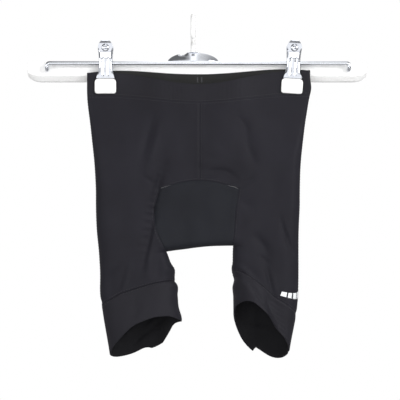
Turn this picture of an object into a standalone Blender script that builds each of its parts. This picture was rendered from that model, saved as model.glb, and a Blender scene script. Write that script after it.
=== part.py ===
"""Cycling shorts of elastane knit, hung by the waistband from the two clips of a bar hanger.

Every size here is in millimetres, and MM turns it to metres as it goes into a mesh. +Z is up and -Y is the
front. The origin is inside the top of the hanger's hook, where a rail carries it. Left and right are the
wearer's, so the garment's left side is at +X.
"""

import math

import bmesh
import bpy
import numpy as np
from mathutils import Matrix

MM = 0.001
LEFT, RIGHT = 1, -1
FRONT, BACK = -1, 1

# Where the garment hangs under the hook
WAIST_UNDER_HOOK = 65.0
CLOTH_BEFORE_HOOK = 13.0
CENTRE_BESIDE_HOOK = 5.9

# Cloth
PANEL_WALL = 1.3
BAND_WALL = 1.8
SEAM_GAP = 0.3
WAISTBAND_DEEP = 27.0
FRONT_SAG = 14.0
BACK_SAG = 4.5
BACK_RISE = 3.4
LEFT_CORNER_RISE = 3.0
SAG_HALF_WIDTH = 105.0
WAIST_HALF = 130.0
SAG_FADE = 45.0
CENTRE_SEAM_X = 2.0
GUSSET_TOP = 135.0
GUSSET_ARCH = 10.0
CROTCH_ROUND = 11.0

# Hanger
BAR_LENGTH, BAR_DEPTH, BAR_TOP, BAR_BOTTOM = 400.0, 12.0, 13.0, -9.0
BAR_FRONT = 7.0
BAR_CHAMFER = 6.5
BAR_END_ROUND = 7.0
ROD_WIDE = 4.6
ROD_Z = 11.6
ROD_END_Z = 4.2
ROD_HALF_LENGTH = 177.0
ROD_BEND = 3.6
ROD_SOCKET_DEEP = 6.0
CLEAR = 0.3
CAP_X, CAP_WIDE, CAP_DEEP, CAP_TALL = -5.9, 61.0, 19.0, 12.6
HOOK_WIDE = 6.0
HOOK_RADIUS = 18.0
HOOK_TIP_ANGLE = 215.0
CLIP_X = {"right": -108.0, "left": 111.4}
CLIP_TILT = {"right": 0.0, "left": 3.6}
PAD_WIDE, PAD_TOP, PAD_BOTTOM, PAD_THICK = 25.0, -7.0, -24.5, 3.4
RIVET_Z, RIVET_HEAD, RIVET_PIN = 29.0, 9.0, 3.0
PRESSED = 2.3

LEG_COLUMNS = ("down", "outer", "inner", "front", "back", "round", "rise", "tilt", "turn")
# A row for each level of one half of the garment. down: below the waist edge; outer: the side fold's X; inner:
# X of the gusset seam, and of the inner fold below the crotch; front, back: how far each layer stands from the
# middle plane; round: how far in from a fold the section turns; rise, tilt: how much higher the level gets per
# millimetre towards +X and +Y; turn: how far it moves to +X per millimetre towards +Y.
RIGHT_HALF = (
    (0, -130.0, -48.0, 4.0, 3.6, 4.0, 0, 0, 0),
    (27, -129.8, -47.5, 5.6, 5.0, 5.0, 0, 0, 0),
    (66, -125.4, -46.5, 8.0, 8.0, 8.0, 0, 0, 0),
    (110, -120.7, -45.5, 10.5, 10.5, 11.0, 0, 0, 0),
    (135, -119.4, -45.0, 11.5, 11.5, 12.0, 0, 0, 0),
    (160, -119.2, -51.0, 12.0, 12.0, 13.0, 0, 0, 0),
    (184, -118.2, -48.0, 12.5, 12.5, 14.0, 0, 0, 0),
    (209, -115.8, -36.8, 13.0, 13.0, 16.0, 0, 0, 0),
    (232, -114.0, -31.0, 14.0, 14.0, 19.0, 0.14, -0.14, 0),
    (255, -112.6, -26.8, 16.0, 16.0, 24.0, 0.29, -0.38, 0),
    (306.5, -104.0, -20.0, 22.0, 22.0, 36.0, 0.42, -0.86, 0),
)
LEFT_HALF = (
    (0, 131.5, 48.0, 4.0, 3.6, 4.0, 0, 0, 0),
    (27, 130.4, 47.8, 5.6, 5.0, 5.0, 0, 0, 0),
    (66, 124.6, 47.5, 8.0, 8.0, 8.0, 0, 0, 0),
    (110, 119.8, 47.5, 10.5, 10.5, 11.0, 0, 0, 0),
    (135, 119.0, 47.5, 11.5, 11.5, 12.0, 0, 0, 0),
    (157, 118.8, 44.6, 12.0, 12.0, 13.0, 0, 0, 0),
    (178, 117.8, 42.8, 12.5, 12.5, 14.0, 0, 0, 0),
    (202, 117.0, 41.0, 13.0, 13.0, 16.0, 0, 0, 0),
    (227, 116.0, 40.6, 14.0, 14.0, 18.0, -0.30, -0.16, 0),
    (252.7, 114.6, 41.0, 16.5, 16.5, 23.0, -0.57, -0.42, -0.12),
    (299.5, 106.6, 42.2, 23.0, 23.0, 30.0, -0.76, -0.94, -0.30),
)
CENTRE_COLUMNS = ("down", "front", "back")
# The same two depths at the garment's middle
CENTRE = (
    (0, 9.0, 5.0),
    (27, 8.5, 6.0),
    (66, 9.5, 9.0),
    (135, 11.0, 11.5),
    (184, 11.5, 12.5),
    (209, 13.0, 13.0),
    (255, 16.0, 16.0),
    (306.5, 22.0, 22.0),
)
CROTCH = {LEFT: 202.0, RIGHT: 209.0}
BAND_SEAM = {LEFT: 252.7, RIGHT: 255.0}
HEM = {LEFT: 299.5, RIGHT: 306.5}

FOLD_COLUMNS = ("side", "x0", "down0", "x1", "down1", "x2", "down2", "deep", "wide")
# A row for each large crease, a soft trough (or a ridge where deep is below zero) along a curve through three
# places, fading to nothing at both ends
FOLDS = (
    (FRONT, -36, 104, -54, 150, -66, 232, 3.6, 8.0),
    (FRONT, -50, 46, -60, 72, -66, 104, 1.8, 7.0),
    (FRONT, -41, 52, -52, 88, -62, 128, -1.4, 7.0),
    (FRONT, 47, 52, 59, 78, 67, 108, 1.7, 9.0),
    (FRONT, -76, 222, -88, 240, -108, 258, 2.2, 9.0),
    (FRONT, 70, 190, 78, 214, 84, 250, 2.0, 8.0),
    (FRONT, 97, 170, 104, 200, 113, 224, 1.4, 6.0),
    (FRONT, 56, 236, 60, 246, 68, 258, 2.0, 8.0),
    (FRONT, -10, 114, 16, 106, 46, 124, 1.5, 7.0),
    (FRONT, 85, 258, 89, 300, 93, 345, 7.0, 12.0),
    (FRONT, 53, 252, 52, 290, 51, 332, -4.5, 12.0),
    (BACK, -33, 262, -31, 302, -29, 352, 12.0, 11.5),
    (BACK, 40, 100, 56, 150, 66, 225, 3.0, 9.0),
    (BACK, -40, 100, -58, 150, -66, 220, 2.6, 9.0),
    (BACK, 48, 48, 60, 76, 68, 110, 1.6, 8.0),
    (BACK, -46, 50, -56, 80, -64, 112, 1.6, 8.0),
    (BACK, 78, 225, 92, 238, 108, 252, 2.0, 9.0),
    (BACK, -76, 222, -88, 236, -106, 250, 2.0, 9.0),
)
STEPS_ALONG_FOLD = 17

OUTER_STEPS, FLAT_STEPS, INNER_STEPS, CENTRE_STEPS = 5, 5, 4, 4
BAND_ROWS, BODY_ROWS, RISE_ROWS, CROTCH_ROWS, LEG_ROWS, HEM_ROWS = 3, 7, 5, 4, 4, 5

CLOTH_COLOUR = (0.028, 0.026, 0.031)
BAND_COLOUR = (0.034, 0.032, 0.037)
GUSSET_COLOUR = (0.024, 0.026, 0.028)
PLASTIC_COLOUR = (0.86, 0.86, 0.85)
CHROME_COLOUR = (0.72, 0.73, 0.75)


def columns_of(names, rows):
    """A table as one array for each named column."""
    return dict(zip(names, np.array(rows, float).T))


HALVES = {LEFT: columns_of(LEG_COLUMNS, LEFT_HALF), RIGHT: columns_of(LEG_COLUMNS, RIGHT_HALF)}
MIDDLE = columns_of(CENTRE_COLUMNS, CENTRE)


def through(table, name, down):
    """A column's value at a level: the cubic through each pair of rows, with the slope at a row that of the
    curve through its neighbours."""
    knots, values = table["down"], table[name]
    slopes = np.gradient(values, knots)
    first = np.clip(np.searchsorted(knots, down, side="right") - 1, 0, len(knots) - 2)
    span = knots[first + 1] - knots[first]
    t = (down - knots[first]) / span
    return (
        values[first] * (1 + 2 * t) * (1 - t) ** 2
        + values[first + 1] * t**2 * (3 - 2 * t)
        + span * (slopes[first] * t * (1 - t) ** 2 - slopes[first + 1] * t**2 * (1 - t))
    )


def eased(t):
    """0 to 1 with level ends."""
    t = np.clip(t, 0.0, 1.0)
    return t * t * (3 - 2 * t)


def sag(x, down, face):
    """How far the hanging middle between the clips lies below the ends: a squared cosine across, fading
    exponentially downwards. The higher cut back stands above the corners by its rise."""
    amount = np.where(face == FRONT, FRONT_SAG, BACK_SAG)
    across = np.cos(np.clip(x / SAG_HALF_WIDTH, -1, 1) * math.pi / 2) ** 2
    rise = np.where(face == BACK, BACK_RISE, 0.0) * (1 - np.clip(np.abs(x) / WAIST_HALF, 0, 1) ** 6)
    return (amount * across - rise) * np.exp(-down / SAG_FADE)


def pressed_share(x, down):
    """1 under the clips' pads, easing to 0 around them."""
    share = 0.0
    for centre, outward in ((CLIP_X["right"], -1), (CLIP_X["left"], 1)):
        beyond = (x - centre) * outward > 0
        away = np.abs(x - centre) - PAD_WIDE / 2 - np.where(beyond, 2.5, 8.5)
        reach = np.where(beyond, 12.0, 52.0)
        share = np.maximum(share, eased(1 - away / reach))
    return share * eased((100.0 - down) / 70.0)


def crease(x, down, face):
    """Depth of the creases at a place: for each, the deepest of a row of soft dents along its curve."""
    total = np.zeros(np.broadcast(x, down, face).shape)
    for row in FOLDS:
        fold = dict(zip(FOLD_COLUMNS, row))
        t = np.linspace(0, 1, STEPS_ALONG_FOLD)
        along_x = (1 - t) ** 2 * fold["x0"] + 2 * t * (1 - t) * fold["x1"] + t**2 * fold["x2"]
        along_down = (1 - t) ** 2 * fold["down0"] + 2 * t * (1 - t) * fold["down1"] + t**2 * fold["down2"]
        away = (x[..., None] - along_x) ** 2 + (down[..., None] - along_down) ** 2
        dents = np.sin(math.pi * t) ** 0.7 * np.exp(-away / fold["wide"] ** 2)
        total += fold["deep"] * dents.max(axis=-1) * (face == fold["side"])
    return total


def shape(side, across, down, face, inset):
    """Points of the garment's skin, or of the skin moved in by inset.

    across runs 0 to 1 round the side fold, 1 to 2 over the flat of the leg, 2 to 3 round its inner fold or up
    to the gusset seam, and 3 to 4 from there to the centre. Round a fold the section is a quarter ellipse.
    Above the crotch the inner fold opens into the gusset: its share is a quarter circle in height.
    """
    half = HALVES[side]
    across, down, face = np.broadcast_arrays(*(np.asarray(v, float) for v in (across, down, face)))
    outer = through(half, "outer", down) - side * inset
    seam_x = through(half, "inner", down)
    radius = through(half, "round", down) - inset
    crotch, turn_height = CROTCH[side] - inset, CROTCH_ROUND - inset
    open_share = np.sqrt(np.clip(1 - (1 - np.clip((crotch - down) / turn_height, 0, 1)) ** 2, 0, 1))
    inner = seam_x + side * inset * (1 - open_share)
    width = np.abs(inner - outer)
    round_angle = across * math.pi / 2
    inner_angle = (3 - across) * math.pi / 2
    inner_run = (1 - open_share) * (1 - np.cos(inner_angle)) + open_share * (3 - across)
    run = np.where(
        across < 1,
        radius * (1 - np.cos(round_angle)),
        np.where(across < 2, radius + (across - 1) * (width - 2 * radius), width - radius * inner_run),
    )
    x = outer - side * run
    x = np.where(across > 3, inner + (across - 3) * (CENTRE_SEAM_X - inner), x)
    lift = np.where(across < 1, np.sin(round_angle), 1.0)
    lift = np.where((across > 2) & (across <= 3), open_share + (1 - open_share) * np.sin(inner_angle), lift)
    leg_depth = np.where(face == FRONT, through(half, "front", down), through(half, "back", down))
    mid_depth = np.where(face == FRONT, through(MIDDLE, "front", down), through(MIDDLE, "back", down))
    to_middle = eased((across - 1.2) / 1.9)
    depth = leg_depth + (mid_depth - leg_depth) * to_middle
    depth += (PRESSED - depth) * pressed_share(x, down)
    depth = depth - inset
    y = face * (SEAM_GAP / 2 + (depth - SEAM_GAP / 2) * lift)
    y -= face * lift * crease(x, down, face)
    return placed(side, x, y, down, face)


def placed(side, x, y, down, face):
    """The points of a level, leaned as its table row says and sagging at the waist, under the hook."""
    half = HALVES[side]
    middle = (through(half, "outer", down) + through(half, "inner", down)) / 2
    z = -down - sag(x, down, face)
    z = z + through(half, "rise", down) * (x - middle)
    z = z + LEFT_CORNER_RISE * np.exp(-down / SAG_FADE) * np.clip(x / WAIST_HALF, 0, 1) ** 2
    z = z + through(half, "tilt", down) * y
    x = x + through(half, "turn", down) * y
    return np.stack(
        [x + CENTRE_BESIDE_HOOK, y - CLOTH_BEFORE_HOOK, z - WAIST_UNDER_HOOK], axis=-1
    )


def gusset_shape(across, along, inset):
    """Points of the crotch panel. across runs -1 at the right seam to 1 at the left. along runs -2 at the top in
    front, -1 where the turn under the body starts, 0 at the bottom, and on to 2 at the top behind. The turn is
    a half ellipse."""
    across, along = np.broadcast_arrays(np.asarray(across, float), np.asarray(along, float))
    side = np.where(across < 0, RIGHT, LEFT)
    face = np.where(along < 0, FRONT, BACK)
    to_centre = 1 - np.abs(across)
    crotch = CROTCH[LEFT] + (CROTCH[RIGHT] - CROTCH[LEFT]) * ((1 - across) / 2) ** 2
    top = gusset_top(3 + to_centre) + SEAM_GAP
    start = crotch - CROTCH_ROUND
    angle = np.clip(np.abs(along), 0, 1) * math.pi / 2
    down = np.where(
        np.abs(along) > 1,
        start + (np.abs(along) - 1) * (top - start),
        crotch - inset - (CROTCH_ROUND - inset) * (1 - np.cos(angle)),
    )
    points = np.zeros(across.shape + (3,))
    for which in (LEFT, RIGHT):
        seam_x = through(HALVES[which], "inner", down)
        edge = seam_x - which * SEAM_GAP
        x = edge + to_centre * (CENTRE_SEAM_X - edge)
        front = through(MIDDLE, "front", down)
        back = through(MIDDLE, "back", down)
        depth = np.where(face == FRONT, front, back) - inset
        y = face * np.sin(angle) * (depth - crease(x, down, face))
        chosen = side == which
        points[chosen] = placed(which, x, y, down, face)[chosen]
    return points


def gusset_top(across):
    """Level of the gusset's top seam, which arches up from its two corners to the middle."""
    return GUSSET_TOP - GUSSET_ARCH * np.sin(np.clip(across - 3, 0, 1) * math.pi / 2)


def steps(start, end, count):
    return np.linspace(start, end, count + 1)


def joined(*runs):
    """Runs of values end to end, each shared end once."""
    return np.concatenate([runs[0]] + [run[1:] for run in runs[1:]])


LEG_ACROSS = joined(steps(0, 1, OUTER_STEPS), steps(1, 2, FLAT_STEPS), steps(2, 3, INNER_STEPS))
TO_CENTRE = steps(3, 4, CENTRE_STEPS)


def panel_levels(side, across):
    """Levels of a panel's rows at each place across: waist seam, gusset top, turn of the crotch, crotch, leg
    band. A row is a line of the returned array."""
    across = np.asarray(across, float)
    crotch, top = CROTCH[side], gusset_top(across)
    waist = WAISTBAND_DEEP + SEAM_GAP / 2
    body = waist + steps(0, 1, BODY_ROWS)[:, None] * (top - waist)
    turn_start = crotch - CROTCH_ROUND
    rise = top + steps(0, 1, RISE_ROWS)[1:, None] * (turn_start - top)
    angles = steps(math.pi / 2, 0, CROTCH_ROWS)[1:, None]
    turn = crotch - CROTCH_ROUND * (1 - np.cos(angles)) + 0 * top
    leg = steps(crotch, BAND_SEAM[side] - SEAM_GAP / 2, LEG_ROWS)[1:, None] + 0 * top
    return np.concatenate([body, rise, turn, leg])


def lay_out(rows, columns, kept=None, ring=False):
    """Quads of a grid, as lines of four point numbers. kept is True for the cells that the piece has, and a
    ring's last column joins its first."""
    number = np.arange(rows * columns).reshape(rows, columns)
    if ring:
        number = np.concatenate([number, number[:, :1]], axis=1)
    quads = np.stack([number[:-1, :-1], number[:-1, 1:], number[1:, 1:], number[1:, :-1]], axis=-1)
    return quads[kept] if kept is not None else quads.reshape(-1, 4)


def cloth_mesh(name, skin, lining, quads):
    """A closed wall of cloth between two point grids that share their quads: both faces, and a rim along
    every edge that only one quad has."""
    count = len(skin)
    edges = np.concatenate([quads[:, [i, (i + 1) % 4]] for i in range(4)])
    _, first, uses = np.unique(np.sort(edges, axis=1), axis=0, return_index=True, return_counts=True)
    rim = edges[first[uses == 1]]
    faces = [quads[:, ::-1], quads + count]
    faces.append(np.stack([rim[:, 0], rim[:, 1], rim[:, 1] + count, rim[:, 0] + count], axis=-1))
    points = np.concatenate([skin, lining])
    mesh = bpy.data.meshes.new(name)
    mesh.from_pydata((points * MM).tolist(), [], np.concatenate(faces).tolist())
    tidy = bmesh.new()
    tidy.from_mesh(mesh)
    loose = [v for v in tidy.verts if not v.link_faces]
    bmesh.ops.delete(tidy, geom=loose, context="VERTS")
    bmesh.ops.recalc_face_normals(tidy, faces=tidy.faces)
    tidy.to_mesh(mesh)
    tidy.free()
    return mesh


def finish(name, roughness, metallic, colour):
    """A plain Principled material."""
    material = bpy.data.materials.new(name)
    material.use_nodes = True
    shader = material.node_tree.nodes["Principled BSDF"]
    shader.inputs["Base Color"].default_value = (*colour, 1.0)
    shader.inputs["Roughness"].default_value = roughness
    shader.inputs["Metallic"].default_value = metallic
    material.diffuse_color = (*colour, 1.0)
    return material


def add(name, mesh, material, collection, sharp=40):
    """An object of the mesh in the collection, shaded smooth up to the sharp angle."""
    piece = bpy.data.objects.new(name, mesh)
    mesh.materials.clear()
    mesh.materials.append(material)
    mesh.shade_smooth()
    mesh.set_sharp_from_angle(angle=math.radians(sharp))
    collection.objects.link(piece)
    return piece


def build_panels(collection, material):
    """Front and back panels of both halves: one grid from the side seam to the gusset seam down to the leg
    band, and on to the centre seam down to the gusset's top."""
    across = joined(LEG_ACROSS, TO_CENTRE)
    for side, side_name in ((LEFT, "left"), (RIGHT, "right")):
        down = panel_levels(side, across)
        grid = np.broadcast_to(across, down.shape)
        kept = np.ones((down.shape[0] - 1, down.shape[1] - 1), bool)
        kept[BODY_ROWS:, len(LEG_ACROSS) - 1 :] = False
        quads = lay_out(*down.shape, kept=kept)
        for face, face_name in ((FRONT, "front"), (BACK, "back")):
            skins = []
            for inset in (0.0, PANEL_WALL):
                points = shape(side, grid, down, face, inset)
                points[:, -1, 0] += side * SEAM_GAP / 2
                skins.append(points.reshape(-1, 3))
            name = f"{face_name}_{side_name}"
            add(name, cloth_mesh(name, *skins, quads), material, collection)


def build_gusset(collection, material):
    """The crotch panel, with the levels and places across of the panels beside it."""
    half = 1 - (TO_CENTRE - 3)
    across = joined(-half, half[::-1])
    slope = joined(steps(-2, -1, RISE_ROWS), steps(-1, 0, CROTCH_ROWS))
    along = joined(slope, -slope[::-1])
    grid = np.meshgrid(across, along)
    skins = [gusset_shape(*grid, inset).reshape(-1, 3) for inset in (0.0, PANEL_WALL)]
    mesh = cloth_mesh("crotch_gusset", *skins, lay_out(len(along), len(across)))
    add("crotch_gusset", mesh, material, collection)


def ring_points(pairs, down, inset):
    """Rings of points round the whole body or one leg. pairs lists side, places across and face in the order
    round the ring."""
    parts = []
    for side, across, face in pairs:
        level = np.repeat(down[side][:, None], len(across), axis=1)
        parts.append(shape(side, np.broadcast_to(across, level.shape), level, face, inset))
    return np.concatenate(parts, axis=1)


def build_waistband(collection, material):
    """The waist casing: right half front to the centre, left half out to its side, and round behind."""
    across = joined(LEG_ACROSS, TO_CENTRE)
    inwards, outwards = across[:-1], across[::-1][:-1]
    pairs = ((RIGHT, inwards, FRONT), (LEFT, outwards, FRONT), (LEFT, inwards, BACK), (RIGHT, outwards, BACK))
    level = steps(0, WAISTBAND_DEEP - SEAM_GAP / 2, BAND_ROWS)
    down = {LEFT: level, RIGHT: level}
    skins = [ring_points(pairs, down, inset) for inset in (0.0, BAND_WALL)]
    quads = lay_out(*skins[0].shape[:2], ring=True)
    mesh = cloth_mesh("waistband", *(s.reshape(-1, 3) for s in skins), quads)
    add("waistband", mesh, material, collection)


def build_hem_bands(collection, material):
    """The band round each leg opening."""
    for side, side_name in ((LEFT, "left"), (RIGHT, "right")):
        pairs = ((side, LEG_ACROSS[:-1], FRONT), (side, LEG_ACROSS[::-1][:-1], BACK))
        down = {side: steps(BAND_SEAM[side] + SEAM_GAP / 2, HEM[side], HEM_ROWS)}
        skins = [ring_points(pairs, down, inset) for inset in (0.0, BAND_WALL)]
        quads = lay_out(*skins[0].shape[:2], ring=True)
        name = f"hem_band_{side_name}"
        add(name, cloth_mesh(name, *(s.reshape(-1, 3) for s in skins), quads), material, collection)


def hung(x, y, z):
    """A place of the hanger, given from the garment's middle and waist edge, in metres under the hook."""
    return ((x + CENTRE_BESIDE_HOOK) * MM, (y - CLOTH_BEFORE_HOOK) * MM, (z - WAIST_UNDER_HOOK) * MM)


def block(name, lowest, highest):
    """A box mesh between two corners."""
    shaping = bmesh.new()
    bmesh.ops.create_cube(shaping, size=1.0)
    low, high = np.array(hung(*lowest)), np.array(hung(*highest))
    for vertex in shaping.verts:
        vertex.co = (low + high) / 2 + np.array(vertex.co) * (high - low)
    return shaping


def rounded(shaping, chosen, width, segments):
    bmesh.ops.bevel(
        shaping,
        geom=[edge for edge in shaping.edges if chosen(edge)],
        offset=width * MM,
        segments=segments,
        profile=0.5,
        affect="EDGES",
        clamp_overlap=True,
    )


def mesh_from(shaping, name):
    mesh = bpy.data.meshes.new(name)
    shaping.normal_update()
    bmesh.ops.recalc_face_normals(shaping, faces=shaping.faces)
    shaping.to_mesh(mesh)
    shaping.free()
    return mesh


def runs_along(edge, axis):
    """Whether an edge lies along an axis."""
    way = edge.verts[1].co - edge.verts[0].co
    return abs(way[axis]) > 0.99 * way.length


def tube(name, points, wide, sides, collection, material):
    """A round wire along a path, as a mesh with welded caps."""
    curve = bpy.data.curves.new(name, "CURVE")
    curve.dimensions = "3D"
    curve.bevel_depth = wide / 2 * MM
    curve.bevel_resolution = sides
    curve.use_fill_caps = True
    spline = curve.splines.new("POLY")
    spline.points.add(len(points) - 1)
    for point, place in zip(spline.points, points):
        point.co = (*hung(*place), 1.0)
    drawn = bpy.data.objects.new(name, curve)
    collection.objects.link(drawn)
    graph = bpy.context.evaluated_depsgraph_get()
    mesh = bpy.data.meshes.new_from_object(drawn.evaluated_get(graph))
    bpy.data.objects.remove(drawn)
    shaping = bmesh.new()
    shaping.from_mesh(mesh)
    bmesh.ops.remove_doubles(shaping, verts=shaping.verts, dist=0.01 * MM)
    bmesh.ops.recalc_face_normals(shaping, faces=shaping.faces)
    shaping.to_mesh(mesh)
    shaping.free()
    return add(name, mesh, material, collection)


def turned(name, profile, centre, axis, sides):
    """A turned mesh: the profile's points are (distance along the axis, radius), and both ends close on it."""
    shaping = bmesh.new()
    spots = []
    for along, radius in profile:
        spots.append(shaping.verts.new((radius * MM, 0, along * MM)))
    edges = [shaping.edges.new(pair) for pair in zip(spots, spots[1:])]
    bmesh.ops.spin(
        shaping,
        geom=spots + edges,
        axis=(0, 0, 1),
        cent=(0, 0, 0),
        steps=sides,
        angle=2 * math.pi,
        use_merge=True,
    )
    bmesh.ops.remove_doubles(shaping, verts=shaping.verts, dist=0.01 * MM)
    place = np.array(hung(*centre))
    for vertex in shaping.verts:
        x, y, z = vertex.co
        vertex.co = place + (np.array((x, z, y)) if axis == "Y" else np.array((x, y, z)))
    return mesh_from(shaping, name)


def cylinder_cutter(name, centre, axis, radius, length, sides, cutters):
    """A hidden cylinder that drills a hole."""
    mesh = turned(name, ((-length / 2, 0), (-length / 2, radius), (length / 2, radius), (length / 2, 0)),
                  centre, axis, sides)
    piece = bpy.data.objects.new(name, mesh)
    piece.hide_render = True
    piece.display_type = "WIRE"
    cutters.objects.link(piece)
    return piece


def drilled(piece, cutter):
    """A Boolean cut on a piece."""
    cut = piece.modifiers.new(f"hole_{cutter.name}", "BOOLEAN")
    cut.operation = "DIFFERENCE"
    cut.object = cutter


BAR_MIDDLE = BAR_FRONT + BAR_DEPTH / 2


def build_bar(collection, cutters, material):
    """The hanger's bar: a long box with rounded ends and a chamfer under its front, and a socket for each end
    of the rod."""
    half = BAR_LENGTH / 2
    shaping = block("hanger_bar", (-half - 1, BAR_FRONT, BAR_BOTTOM), (half - 1, BAR_FRONT + BAR_DEPTH, BAR_TOP))
    rounded(shaping, lambda edge: runs_along(edge, 1), BAR_END_ROUND, 5)
    low_front = np.array(hung(0, BAR_FRONT, BAR_BOTTOM))

    def under_front(edge):
        return runs_along(edge, 0) and all(np.allclose(v.co[1:], low_front[1:], atol=1e-6) for v in edge.verts)

    rounded(shaping, under_front, BAR_CHAMFER, 1)
    piece = add("hanger_bar", mesh_from(shaping, "hanger_bar"), material, collection)
    for name, x in (("right", -ROD_HALF_LENGTH), ("left", ROD_HALF_LENGTH)):
        centre = (x, BAR_FRONT + ROD_SOCKET_DEEP / 2 - 1, ROD_END_Z)
        radius = ROD_WIDE / 2 + CLEAR
        drilled(piece, cylinder_cutter(f"socket_{name}", centre, "Y", radius, ROD_SOCKET_DEEP + 2, 20, cutters))


def quarter(corner, start, end, count):
    """Points of a quarter arc about a corner, from its offset start to its offset end."""
    turn = steps(0, math.pi / 2, count)
    return [tuple(np.array(corner) + math.cos(t) * np.array(start) + math.sin(t) * np.array(end)) for t in turn]


def build_rod(collection, material):
    """The rod before the bar: out of a socket, up, along and back into the other socket."""
    up_bend = quarter((ROD_HALF_LENGTH, ROD_BEND, ROD_END_Z + ROD_BEND), (0, 0, -ROD_BEND), (0, -ROD_BEND, 0), 4)
    top = ROD_Z
    side_bend = quarter((ROD_HALF_LENGTH - ROD_BEND, 0, top - ROD_BEND), (ROD_BEND, 0, 0), (0, 0, ROD_BEND), 4)
    end = [(ROD_HALF_LENGTH, BAR_FRONT + ROD_SOCKET_DEEP - 1 - CLEAR, ROD_END_Z)] + up_bend + side_bend
    straight = [(x, 0.0, top) for x in np.linspace(ROD_HALF_LENGTH - ROD_BEND, 0, 5)[1:]]
    half = end + straight
    other = [(-x, y, z) for x, y, z in half[::-1][1:]]
    tube("hanger_rod", half + other, ROD_WIDE, 2, collection, material)


def build_cap(collection, cutters, material):
    """The domed cap on the bar's middle, with a hole for the hook's stem."""
    shaping = bmesh.new()
    bmesh.ops.create_uvsphere(shaping, u_segments=24, v_segments=12, radius=1.0)
    floor = [v for v in shaping.verts if v.co.z < -1e-4]
    bmesh.ops.delete(shaping, geom=floor, context="VERTS")
    rim = [edge for edge in shaping.edges if edge.is_boundary]
    bmesh.ops.contextual_create(shaping, geom=rim)
    place = np.array(hung(CAP_X, BAR_MIDDLE, BAR_TOP + CLEAR))
    size = np.array((CAP_WIDE / 2, CAP_DEEP / 2, CAP_TALL)) * MM
    for vertex in shaping.verts:
        vertex.co = place + np.array(vertex.co) * size
    piece = add("hanger_cap", mesh_from(shaping, "hanger_cap"), material, collection)
    centre = (CAP_X, BAR_MIDDLE, BAR_TOP + CAP_TALL / 2)
    drilled(piece, cylinder_cutter("stem_hole", centre, "Z", HOOK_WIDE / 2 + CLEAR, 3 * CAP_TALL, 20, cutters))


def build_hook(collection, material):
    """The hook: a stem out of the cap, and a loop open to the front over the rail."""
    centre_z = WAIST_UNDER_HOOK + HOOK_WIDE / 2 - HOOK_RADIUS
    foot = BAR_TOP + 2 * CLEAR
    neck = HOOK_RADIUS * 0.85
    low = centre_z - HOOK_RADIUS * 1.35
    loop = [
        (CAP_X, BAR_MIDDLE + HOOK_RADIUS * math.cos(a), centre_z + HOOK_RADIUS * math.sin(a))
        for a in np.radians(np.linspace(-20, HOOK_TIP_ANGLE, 22))
    ]
    start, end = np.array((BAR_MIDDLE, low)), np.array(loop[0][1:])
    leave, arrive = start + np.array((0, neck * 0.8)), end + np.array((-0.34, -0.94)) * neck * 0.75
    bend = []
    for t in np.linspace(0, 1, 9)[:-1]:
        y, z = (
            (1 - t) ** 3 * start + 3 * t * (1 - t) ** 2 * leave + 3 * t**2 * (1 - t) * arrive + t**3 * end
        )
        bend.append((CAP_X, y, z))
    tube("hanger_hook", [(CAP_X, BAR_MIDDLE, foot)] + bend + loop, HOOK_WIDE, 3, collection, material)


LEAF_AT_RIVET = 5.5
# Outer side of a clip's front leaf from top to bottom: height, distance before the cloth's plane, half width
LEAF_COLUMNS = ("z", "ahead", "half_wide")
LEAF = (
    (38.8, 8.4, 3.6),
    (37.2, 7.4, 6.2),
    (34.2, LEAF_AT_RIVET, 7.4),
    (23.8, LEAF_AT_RIVET, 7.3),
    (17.0, 4.0, 7.2),
    (12.0, 3.7, 7.2),
    (6.0, 3.9, 7.4),
    (0.0, 4.6, 8.2),
    (-4.0, 4.9, 9.6),
    (-6.7, 5.0, 10.4),
)
LEAF_WALL = 1.0
LEAF_STEPS = 4


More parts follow.
